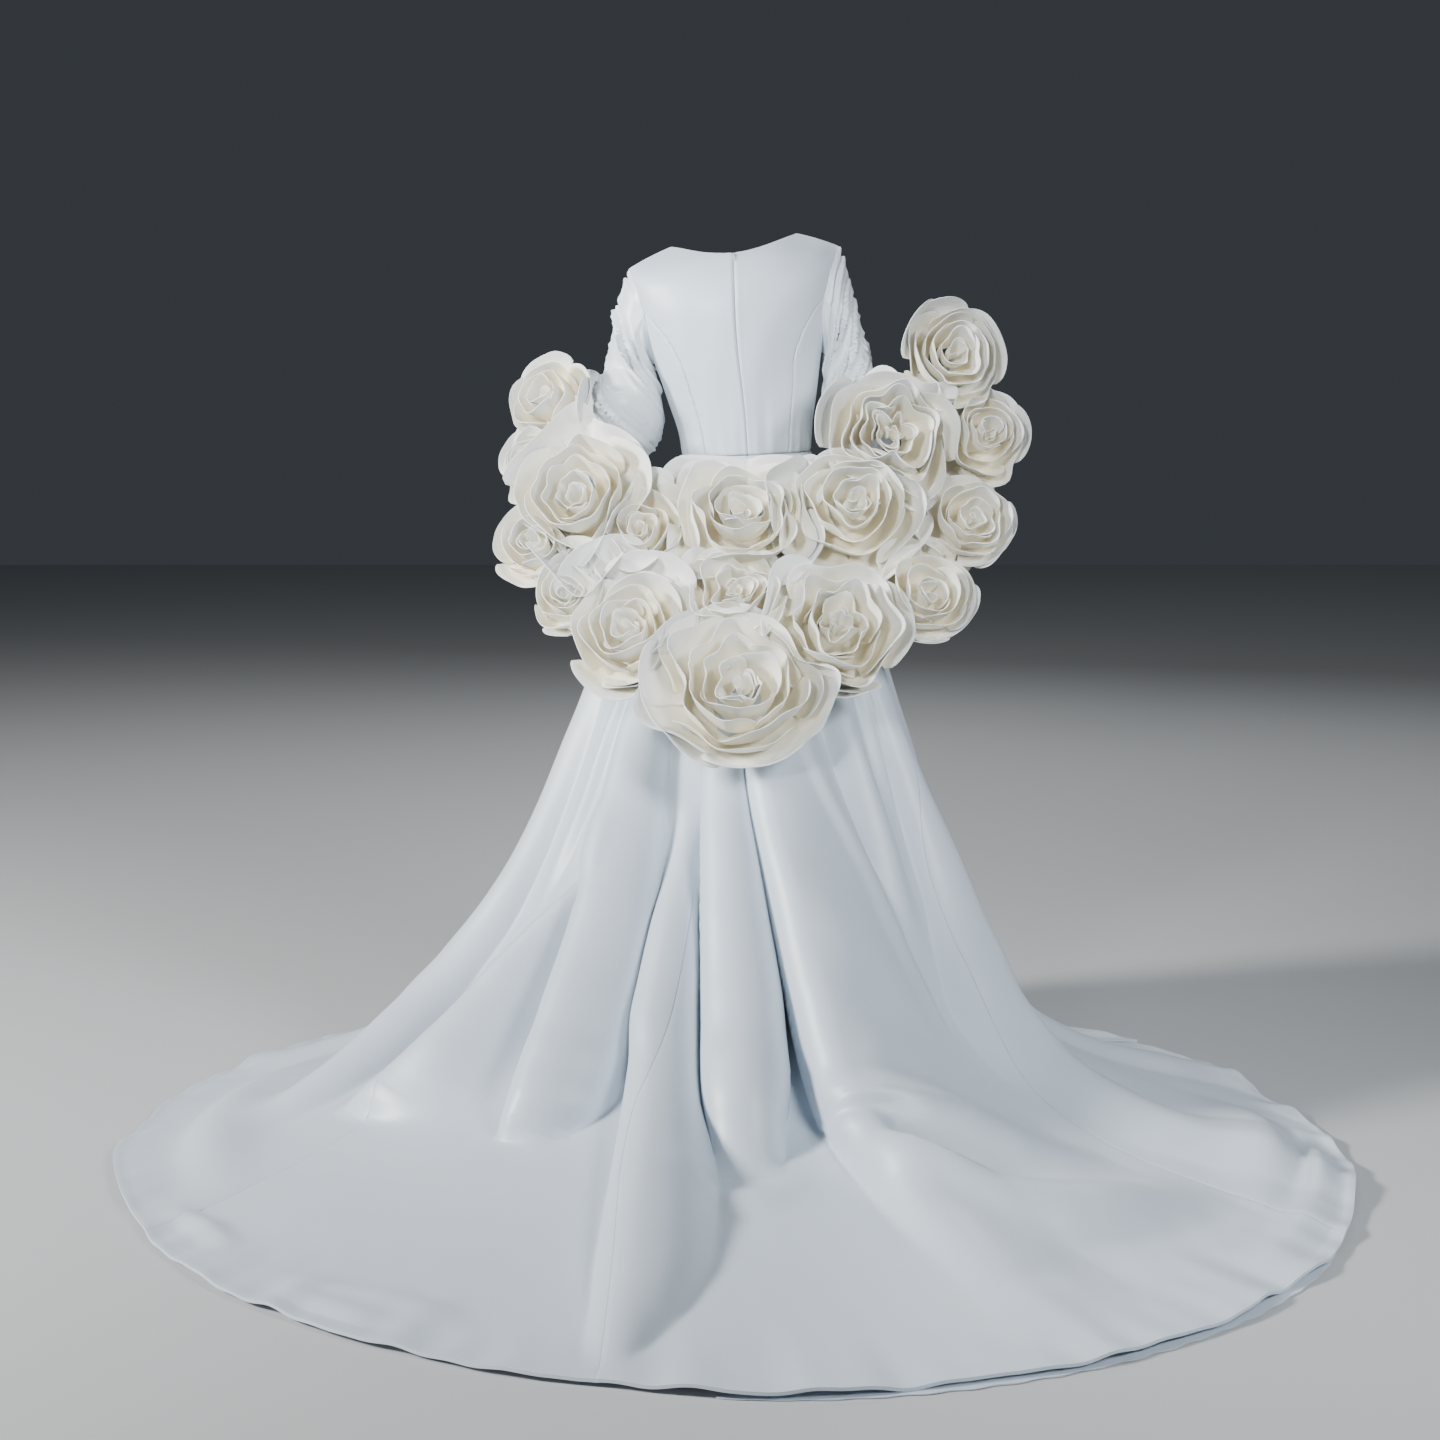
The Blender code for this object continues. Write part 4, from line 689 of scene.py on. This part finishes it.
def ruching(length, seed):
    """The crossing folds of a ruched sleeve, in metres out, from the length along it at a point.

    Each is a narrow crease that runs down from the outer to the inner side, with a puff above it
    and a larger one under it.
    """
    chance = np.random.default_rng(seed)
    spokes, whole = length.shape[1], length.max()
    angle = (np.arange(spokes) / spokes * math.tau)[None, :]
    total = 0 * length
    for k in range(SLEEVE_FOLDS):
        start = whole * (k + chance.uniform(-0.8, 0.8)) / SLEEVE_FOLDS
        where = chance.uniform(0, math.tau)
        slope, reach = chance.uniform(-0.010, 0.010), chance.uniform(0.7, 1.7)
        lean, deep = chance.uniform(0.010, 0.030), chance.uniform(0.0042, 0.0085)
        wide = chance.uniform(0.75, 1.4)
        apart = (angle - where + math.pi) % math.tau - math.pi
        below = length - start - slope * apart - lean * (np.cos(angle) - math.cos(where))
        below = below / wide
        crease = dip(below, 1.25, 0.0026) - dip(below - 0.0085, 0.9, 0.0065)
        crease = crease - dip(below + 0.0075, 0.45, 0.0060)
        total = total + deep * crease * np.clip(1 - (apart / reach) ** 2, 0, 1)
    return total - SLEEVE_SUNK


def arm_rings(path, spokes):
    """The centre, the spokes and the radius of each ring along the arm. A spoke keeps its place."""
    rows = np.array(path)
    stations = np.arange(len(rows))
    places = np.linspace(0, len(rows) - 1, (len(rows) - 1) * RINGS_BETWEEN + 1)
    x, y, z, radius = (smooth(stations, rows[:, k], places) for k in range(4))
    centres = np.stack([x, y, z], -1)
    rings = []
    for centre, axis, size in zip(centres, unit(np.gradient(centres, axis=0)), radius):
        spokes = unit(spokes - (spokes @ axis)[:, None] * axis)
        rings.append((centre, spokes, size))
    return rings


def make_sleeve(name, left):
    turn, up = armhole_loop(left)
    outward = 1 if left else -1
    outer, inner = torso_cloth(turn, up)
    outer[up >= 1, 1] = inner[up >= 1, 1] = 0
    tangent = np.roll(outer, -1, axis=0) - np.roll(outer, 1, axis=0)
    away = unit(np.cross(tangent, outer - inner))
    away *= np.sign(away[up.argmax(), 0]) * outward

    height = (outer[:, 2] - outer[:, 2].min()) / np.ptp(outer[:, 2])
    cap = np.stack([outward * (CAP_OUT + CAP_ROUND * height), 0 * height, -CAP_DROP * height], -1)
    round_arm = outer - outer.mean(axis=0)
    spokes = np.stack([outward * round_arm[:, 2], round_arm[:, 1], 0 * height], -1)
    rings = arm_rings(SLEEVE_PATHS[name], spokes)
    first, first_way = rings[0][0] + rings[0][1] * rings[0][2], rings[0][1]
    rows, ways = [outer + away * ARMHOLE_GAP], [(outer - inner) / CLOTH]
    for t in np.linspace(0, 1, CAP_RINGS + 2)[1:-1]:
        rows.append(bowed(outer, outer + cap, first, t))
        ways.append((1 - t) * ways[0] + t * first_way)
    rows += [centre + spoke * radius for centre, spoke, radius in rings]
    ways += [spoke for _, spoke, _ in rings]
    rows, ways = np.array(rows), unit(np.array(ways))
    length = lengths(rows, 0)
    to_cuff = length.max(axis=0) - length
    fade = np.clip(length / 0.012, 0, 1) * np.clip(to_cuff / 0.01 + 0.3, 0, 1)
    rows = rows + ways * (ruching(length, 31 if left else 32) * fade)[..., None]
    shell = Shell()
    shell.add(rows, rows - ways * CLOTH, round_about=True)
    cloth_piece(name, shell, satin_sleeve, "satin", (0.50, 0.74, 0.185), "gathered",
                ["bodice_front"], name + "_forearm")


# ---------------------------------------------------------------- garland

def band_surface(across, down):
    """The outer face of the garland's backing, from its upper edge (down = 0) to its lower (1)."""
    across, down = np.broadcast_arrays(np.asarray(across, float), np.asarray(down, float))
    turn, top, bottom, out_x, out_y, out_z = columns(BAND, across)
    along = np.maximum(top + (bottom - top) * down, 0.002)
    round_back = np.linspace(-60, 60, 61)
    crest = fold_rise(round_back, along[..., None] + 0 * round_back).max(axis=-1)
    lift = (crest + BAND_CLEAR + BAND_CLOTH)[..., None]
    swing = np.stack([out_x, out_y, out_z], -1)
    return skirt_base(turn, along) + normal_of(skirt_base, turn, along) * lift + swing


def band_normal(across, down):
    step = 0.01
    sideways = band_surface(across + step, down) - band_surface(across - step, down)
    downwards = band_surface(across, down + step) - band_surface(across, down - step)
    return unit(np.cross(sideways, downwards))


# A petal's lip, as a share of the rose's reach: how high it stands, as a share of the rose's height
ROSE_LIPS = np.array((
    (0, 0.74), (0.20, 0.92), (0.42, 1.00), (0.65, 0.94), (0.85, 0.74), (1.05, 0.48), (1.40, 0.20),
))
# The same lip: half its petal's spread in degrees, how far the petal bulges outwards and upwards
PETAL_FORM = np.array((
    (0.10, 130, 0.02, 0.55), (0.50, 96, 0.05, 0.25), (0.80, 66, 0.03, 0.10),
    (1.05, 52, -0.08, 0.22),
))
# The same lip: where its petal's foot is, as shares of the rose's reach and height
PETAL_FOOT = np.array((
    (0.10, 0.04, 0.35), (0.45, 0.30, 0.22), (0.70, 0.38, 0.06), (1.05, 0.50, 0.02),
))
# The same lip: how far it turns outwards
PETAL_FLARE = np.array(((0.10, 0.006), (0.60, 0.016), (0.85, 0.040), (1.05, 0.070)))
FIRST_STEP, PETAL_STEP = 115, 137.5  # degrees from a petal to the next, in the heart and round it

# Broad plain petals that stand out: rose, direction in degrees (0 the wearer's left, 90 up), half
# its spread, reach and lip height as shares of the rose's, and how far its corner is pulled aside.
PLAIN_PETALS = (
    ("left_top", 178, 34, 1.10, 0.95, -0.5),
    ("left_top", 62, 50, 1.12, 0.62, 0.3),
    ("left_large", 52, 50, 1.12, 0.80, -0.4),
    ("left_large", 118, 38, 1.05, 0.66, -0.7),
    ("left_low", 222, 50, 1.05, 0.60, 0.8),
    ("left_low", 268, 50, 1.02, 0.52, -0.5),
    ("left_side", 200, 54, 0.86, 0.62, 0.2),
    ("left_middle", 12, 40, 1.45, 0.55, 0.8),
    ("right_centre", 12, 44, 1.12, 1.02, 0.6),
    ("right_large", 28, 44, 1.15, 1.00, -0.6),
    ("right_large", 105, 56, 1.04, 0.80, 0.2),
    ("right_top", 35, 46, 1.10, 1.00, 0.7),
    ("right_top", 80, 42, 1.06, 0.86, -0.6),
    ("right_outer", 178, 56, 1.06, 0.72, 0.1),
    ("right_lower_outer", 190, 50, 1.00, 0.66, 0.6),
    ("right_lower_outer", 250, 50, 1.00, 0.58, -0.4),
    ("right_low", 205, 52, 1.00, 0.60, 0.4),
    ("right_low", 285, 54, 1.02, 0.56, 0.3),
    ("bottom", 325, 52, 1.06, 0.62, 0.2),
    ("bottom", 255, 56, 1.04, 0.58, -0.2),
    ("bottom", 30, 46, 1.02, 0.78, 0.3),
    ("lower_left", 264, 40, 0.92, 0.58, -0.3),
    ("left_large", 272, 58, 1.26, 0.90, 0.2),
    ("lower_left", 98, 46, 1.16, 0.90, 0.3),
    ("lower_left", 60, 40, 1.42, 0.98, -0.3),
    ("left_low", 104, 52, 1.25, 0.80, 0.2),
    ("centre_top", 128, 44, 1.16, 0.62, 0.5),
    ("centre_top", 62, 46, 1.14, 0.56, -0.4),
    ("right_centre", 118, 46, 1.12, 0.60, 0.3),
    ("lower_right", 268, 44, 1.04, 0.58, 0.3),
)


def make_band():
    across, down = np.meshgrid(np.linspace(-0.96, 0.96, 130), np.linspace(0.09, 0.80, 40))
    outer, normal = band_surface(across, down), band_normal(across, down)
    pucker = BAND_PUCKER * (1 + waves(outer, 41, 0.05)) / 2
    outer = outer - normal * pucker[..., None]
    shell = Shell()
    # all of the backing is painted with that warm shade
    shell.add(outer, outer - normal * BAND_CLOTH, np.full(outer.shape[:2], BAND_SHADE))
    cloth_piece("garland_band", shell, satin_rose, "backing", (0.38, 1.64, 0.33), "hung",
                ["skirt_back_left"])


class Rose:
    """Where a rose sits on the band, how far it reaches each way and how its petals are placed."""

    def __init__(self, name, across, down, radius, height, spin, ruffle, folds, off):
        self.name, self.radius, self.height, self.spin = name, radius, height, math.radians(spin)
        self.ruffle, self.folds, self.off = ruffle, folds, off
        self.centre, self.face = band_surface(across, down), band_normal(across, down)
        self.side = unit(np.cross(self.face, (0, 0, 1)))
        self.rise = np.cross(self.side, self.face)
        step = 0.01
        self.per_step = np.stack([(band_surface(across + step, down) - self.centre) / step,
                                  (band_surface(across, down + step) - self.centre) / step], -1)
        self.across, self.down = across, down

    def way(self, angle):
        return np.cos(angle)[..., None] * self.side + np.sin(angle)[..., None] * self.rise

    def find_room(self, roses):
        """Reach in each direction: a little past the band's edge, or into the next rose's share."""
        self.circle = np.linspace(0, math.tau, 73)
        angle = self.circle[:-1]
        way = self.way(angle)
        drift = way @ np.linalg.pinv(self.per_step).T + 1e-9
        edges = np.stack([(np.sign(drift[:, 0]) - self.across) / drift[:, 0],
                          ((drift[:, 1] > 0) - self.down) / drift[:, 1]])
        low = self.down > 0.6
        least = 0.64 if low and abs(self.across) > 0.5 else 0.90
        most = 1.06 + 0.11 * np.clip(2 * np.sin(angle), -1, 1) if low else 1.22
        reach = np.clip(edges.min(axis=0) - 0.002, least * self.radius, most * self.radius)
        for other in roses:
            if other is self:
                continue
            apart = other.centre - self.centre
            span = np.linalg.norm(apart)
            apart /= span
            share = span * self.radius / (self.radius + other.radius) * 1.28 + 0.006
            lean = way @ apart
            ahead = lean > 0.05
            share = share - 0.3 * self.height * max(self.face @ apart, 0)
            limit = share / np.where(ahead, lean, 1)
            reach = np.where(ahead, np.minimum(reach, limit), reach)
        reach = np.maximum(reach, 0.45 * self.radius)
        reach = (np.roll(reach, 1) + 2 * reach + np.roll(reach, -1)) / 4
        self.room = np.append(reach, reach[0])

    def place(self, angle, out, high):
        """Points at an angle round the rose, at shares of its reach outwards and its height up."""
        reach = np.interp(angle % math.tau, self.circle, self.room)
        rim = np.clip((out - 0.35) / 0.55, 0, 1)
        reach = rim * reach + (1 - rim) * min(self.room.mean(), self.radius)
        crowd = np.clip(1 - reach / self.radius, 0, 1)
        high = high * (1 + 0.30 * crowd * np.clip(out, 0, 1))
        outwards = self.way(angle) * (out * reach)[..., None]
        return self.centre + outwards + self.face * (self.height * high + ROSE_FOOT)[..., None]

    def lean_heart(self, points, out, turned):
        """The points near the heart, moved off centre in the direction turned."""
        shift = self.off * self.radius * np.clip(1 - out, 0, 1)
        way = math.cos(turned) * self.side + math.sin(turned) * self.rise
        return points + shift[..., None] * way


def lip_height(out):
    return columns(ROSE_LIPS, np.clip(out, 0, 1.4))[0]


def petal_grid(cols, rows):
    up = np.concatenate([np.linspace(0, 1, rows - 3) ** 0.9 * 0.94, (0.965, 0.985, 1.0)])
    return np.meshgrid(np.linspace(-1, 1, cols), up)


def bowed(first, middle, last, share):
    """A curve from first to last that bows towards middle."""
    return (1 - share) ** 2 * first + 2 * share * (1 - share) * middle + share ** 2 * last


def add_petal(shell, points, out, high, less_shade):
    """A thin wall through points. Its depth in the rose, which sets its painted warm shade, comes
    from out and high, less by the share given for paler outer petals.
    """
    normal = grid_normal(points)
    depth = np.clip((lip_height(out) - high + 0.02) / 0.55, 0, 1) * (1 - less_shade)
    shell.add(points + normal * PETAL_CLOTH / 2, points - normal * PETAL_CLOTH / 2, depth)


def wind_petals(rose, number, shell, chance):
    """The rose's own petals, wound round its heart from the inside out."""
    large = rose.radius > LARGE_ROSE
    petals = 17 if large else 14
    across, up = petal_grid(27, 13) if large else petal_grid(23, 12)
    angle, turned = rose.spin, chance.uniform(0, math.tau)
    for k in range(petals):
        share = k / (petals - 1)
        lip = (0.09 + 0.95 * share ** 1.02) * chance.uniform(0.97, 1.03)
        half, bulge, swell = straight(PETAL_FORM, lip)
        half = math.radians(half) * chance.uniform(0.9, 1.12)
        foot, bottom = straight(PETAL_FOOT, lip)
        top = lip_height(lip) * chance.uniform(0.92, 1.08)
        cut = up * (0.55 + 0.45 * np.sqrt(1 - np.abs(across) ** 3.2))
        way = angle + half * across * (0.60 + 0.40 * cut ** 0.5)
        out = bowed(foot, lip + bulge, lip, cut) + 0.045 * across * cut
        high = bowed(bottom, bottom + swell * (top - bottom), top, cut)
        roll = np.clip((up - 0.88) / 0.12, 0, 1)
        flare = straight(PETAL_FLARE, lip)[0]
        out = out + flare * np.clip((cut - 0.6) / 0.4, 0, 1) ** 2 + 0.014 * roll
        high = high - 0.018 * roll ** 2 - 0.6 * flare * np.clip((cut - 0.7) / 0.3, 0, 1) ** 2
        ring = np.stack([np.cos(way), np.sin(way), np.full(way.shape, 0.10 * k)], -1)
        fold = waves(ring, 900 + number, 5.0 / rose.folds)
        rise = waves(ring, 950 + number, 6.0 / rose.folds)
        out = out + (0.030 + 0.066 * rose.ruffle) * fold * cut ** 1.3 * np.clip(lip / 0.35, 0.3, 1)
        high = high + (0.026 + 0.056 * rose.ruffle) * rise * cut ** 1.3
        start = chance.uniform(0, math.tau)
        out = out + 0.032 * np.sin(chance.uniform(3, 6) * across + start) * cut ** 2
        high = high + 0.050 * np.cos(chance.uniform(2, 4) * across + start) * cut ** 2
        high = high + chance.uniform(-0.15, 0.15) * across * cut
        out = np.maximum(out, 0.004)
        points = rose.lean_heart(rose.place(way, out, high), out, turned)
        drift = 0.030 * rose.radius * share * cut
        points = points + drift[..., None] * rose.way(chance.uniform(0, math.tau, 1))
        points = points + 0.0012 * waves(points, 600 + k, 0.04)[..., None] * rose.face
        # outer petals get less of the painted warm shade
        add_petal(shell, points, out, high, 0.55 * np.clip(lip - 0.5, 0, 1))
        angle += math.radians(PETAL_STEP if k > 2 else FIRST_STEP) + chance.uniform(-0.16, 0.16)


def stand_petals(rose, shell, chance):
    """The broad plain petals that stand out of a rose, from PLAIN_PETALS."""
    across, up = petal_grid(25, 14)
    for number, (name, turn, half, reach, top, corner) in enumerate(PLAIN_PETALS):
        if name != rose.name:
            continue
        cut = up * (0.25 + 0.75 * np.sqrt(1 - np.abs(across) ** 2.6)) * (1 + 0.16 * corner * across)
        way = math.radians(turn) + math.radians(half) * across * (0.50 + 0.50 * cut ** 0.5)
        out = bowed(0.42 * reach, 1.02 * reach, reach, cut)
        high = bowed(0.05, 0.10 + 0.20 * top, top, cut)
        roll = np.clip((up - 0.84) / 0.16, 0, 1)
        start = chance.uniform(0, math.tau)
        out = out + 0.030 * roll + 0.030 * np.sin(2.2 * across + start) * cut ** 2
        high = high - 0.035 * roll ** 2 + 0.045 * np.sin(3.0 * across + 2 * start) * cut ** 2
        points = rose.place(way, out, high)
        points = points + 0.0016 * waves(points, 650 + number, 0.05)[..., None] * rose.face
        # plain petals get only a little of the painted warm shade
        add_petal(shell, points, out, high, 0.6)


def make_rose(rose, number):
    chance = np.random.default_rng(700 + number)
    shell = Shell()
    wind_petals(rose, number, shell, chance)
    stand_petals(rose, shell, chance)
    width, area = 1.1 * rose.radius, shell.area  # its petals take up three quarters of a strip
    cut = (width, area / (0.75 * width), area)
    cloth_piece("rose_" + rose.name, shell, satin_rose, "rose_satin", cut, "gathered",
                ["garland_band"])


def make_garland():
    make_band()
    roses = [Rose(*row) for row in ROSES]
    for number, rose in enumerate(roses):
        rose.find_room(roses)
        make_rose(rose, number)


# ---------------------------------------------------------------- materials

def new_material(name):
    """A material with nodes: itself, its nodes, its links and its shader."""
    material = bpy.data.materials.new(name)
    material.use_nodes = True
    tree = material.node_tree
    return material, tree.nodes, tree.links, tree.nodes["Principled BSDF"]


def set_sockets(node, values):
    for socket, value in values.items():
        node.inputs[socket].default_value = value
    return node


def satin(name, light, deep, gloss, roughness, sheen, slub):
    """Woven satin: close threads along the cloth, faint slubs, slow changes of tone, a sheen. The
    colour deep is a painted warm shade, mixed in as deep as a point lies in a rose.
    """
    material, nodes, links, shader = new_material(name)
    set_sockets(shader, {"Roughness": roughness, "Sheen Weight": sheen, "Sheen Roughness": 0.35,
                         "Specular IOR Level": gloss})
    uv = nodes.new("ShaderNodeUVMap")
    uv.uv_map = "cloth"
    place = nodes.new("ShaderNodeTexCoord")

    def noise(source, scale, stretch, detail):
        mapping = set_sockets(nodes.new("ShaderNodeMapping"), {"Scale": stretch})
        grain = set_sockets(nodes.new("ShaderNodeTexNoise"), {"Scale": scale, "Detail": detail})
        links.new(source, mapping.inputs["Vector"])
        links.new(mapping.outputs["Vector"], grain.inputs["Vector"])
        return grain.outputs["Fac"]

    def mix(factor):
        node = nodes.new("ShaderNodeMix")
        node.data_type = "RGBA"
        links.new(factor, node.inputs["Factor"])
        return node

    def relief(height, strength, distance):
        node = nodes.new("ShaderNodeBump")
        links.new(height, node.inputs["Height"])
        return set_sockets(node, {"Strength": strength, "Distance": distance})

    threads = noise(uv.outputs["UV"], 1.0, (160, 2600, 1), 1.0)
    slubs = noise(uv.outputs["UV"], 1.0, (14, 420, 1), 2.0)
    tone = noise(place.outputs["Object"], 5.0, (1, 1, 1), 3.0)
    # painted warm shade: the cream that light bouncing between the petals gives a rose's depths
    depth = nodes.new("ShaderNodeAttribute")
    depth.attribute_name = "depth"
    darker = tuple(0.965 * c for c in light[:3]) + (1,)
    vary = set_sockets(mix(tone), {"A": light, "B": darker})
    paint_warm_shade = set_sockets(mix(depth.outputs["Fac"]), {"B": deep})
    links.new(vary.outputs["Result"], paint_warm_shade.inputs["A"])
    links.new(paint_warm_shade.outputs["Result"], shader.inputs["Base Color"])
    fine, coarse = relief(threads, 0.10, 0.0002), relief(slubs, slub, 0.0005)
    links.new(fine.outputs["Normal"], coarse.inputs["Normal"])
    links.new(coarse.outputs["Normal"], shader.inputs["Normal"])
    return material


def zip_metal():
    """White-lacquered metal, rubbed a little darker in patches."""
    material, nodes, links, shader = new_material("zip_metal")
    set_sockets(shader, {"Metallic": 0.3, "Roughness": 0.28})
    worn = set_sockets(nodes.new("ShaderNodeTexNoise"), {"Scale": 900})
    ramp = nodes.new("ShaderNodeValToRGB")
    stops = ramp.color_ramp.elements
    stops[0].position, stops[0].color = 0.35, (0.55, 0.56, 0.58, 1)
    stops[1].position, stops[1].color = 0.60, (0.86, 0.87, 0.88, 1)
    links.new(worn.outputs["Fac"], ramp.inputs["Fac"])
    links.new(ramp.outputs["Color"], shader.inputs["Base Color"])
    return material


# name, colour, painted warm shade in the depth of a rose, gloss, roughness, sheen, slub
satin_white, satin_sleeve, satin_rose = (satin(*row) for row in (
    ("satin_white", (0.60, 0.675, 0.755, 1), (0.60, 0.655, 0.70, 1), 0.75, 0.46, 0.12, 0.14),
    ("satin_sleeve", (0.70, 0.755, 0.80, 1), (0.66, 0.70, 0.72, 1), 0.80, 0.42, 0.12, 0.10),
    ("satin_rose", (0.84, 0.86, 0.85, 1), (0.98, 0.91, 0.72, 1), 0.40, 0.50, 0.14, 0.06),
))

# ---------------------------------------------------------------- the dress

make_skirt()
make_hem_facing()
make_bodice()
make_sleeve("sleeve_left", True)
make_sleeve("sleeve_right", False)
make_garland()
lacquer = zip_metal()
for node in ("zip_slider", "zip_pull"):
    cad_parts[node].material_slots[0].material = lacquer

# ---------------------------------------------------------------- stage, light and camera

FLOOR, FLOOR_HALF = -HOLD_HEIGHT - 0.0005, 14
CAMERA_PLACE = (0.0318, 4.5, 1.25)  # its height is over the floor
CAMERA_LENS, CAMERA_SENSOR = 60.5, 36  # mm: one metre at the dress is about 538 photo pixels
CAMERA_DOWN = math.atan2(320, 2420)  # the horizon is 320 photo pixels over the middle
# name, place, aim, size, power, colour, spread in degrees
LAMPS = (
    ("key", (5.2, 1.9, 1.3), (0, 0.1, -0.2), 1.0, 640, (1, 0.985, 0.965), 180),
    ("fill", (-2.4, 3.2, 1.1), (-0.8, 0.5, -1.1), 1.2, 25, (0.92, 0.96, 1), 70),
    ("back", (-1.2, -4.6, 2.4), (0, 0, -0.6), 2.4, 80, (0.94, 0.97, 1), 180),
    ("front", (1.3, 3.9, 0.9), (0.12, 0.1, -0.12), 0.8, 8, (0.97, 0.985, 1), 34),
)


def make_floor():
    mesh = bpy.data.meshes.new("floor")
    corners = [(x * FLOOR_HALF, y * FLOOR_HALF, FLOOR)
               for x, y in ((-1, -1), (1, -1), (1, 1), (-1, 1))]
    mesh.from_pydata(corners, [], [(0, 1, 2, 3)])
    material, _, _, shader = new_material("floor")
    set_sockets(shader, {"Base Color": (0.50, 0.51, 0.52, 1), "Roughness": 0.9})
    mesh.materials.append(material)
    floor = bpy.data.objects.new("floor", mesh)
    bpy.context.scene.collection.objects.link(floor)


def add_light(name, place, aim, size, power, color, spread):
    light = bpy.data.lights.new(name, "AREA")
    light.shape, light.size, light.energy, light.color = "DISK", size, power, color
    light.spread = math.radians(spread)
    lamp = bpy.data.objects.new(name, light)
    lamp.location = place
    way = np.array(aim, float) - np.array(place, float)
    level = math.hypot(way[0], way[1])
    lamp.rotation_euler = (math.atan2(level, -way[2]), 0, math.atan2(way[1], way[0]) - math.pi / 2)
    bpy.context.scene.collection.objects.link(lamp)


def make_light():
    world = bpy.data.worlds.new("studio")
    world.use_nodes = True
    set_sockets(world.node_tree.nodes["Background"],
                {"Color": (0.72, 0.82, 0.95, 1), "Strength": 0.055})
    bpy.context.scene.world = world
    for row in LAMPS:
        add_light(*row)


def make_camera():
    camera = bpy.data.cameras.new("camera")
    camera.sensor_width, camera.lens = CAMERA_SENSOR, CAMERA_LENS
    eye = bpy.data.objects.new("camera", camera)
    x, y, z = CAMERA_PLACE
    eye.location = (x, y, z - HOLD_HEIGHT)
    eye.rotation_euler = (math.radians(90) - CAMERA_DOWN, 0, math.pi)
    bpy.context.scene.collection.objects.link(eye)
    bpy.context.scene.camera = eye


make_floor()
make_light()
make_camera()
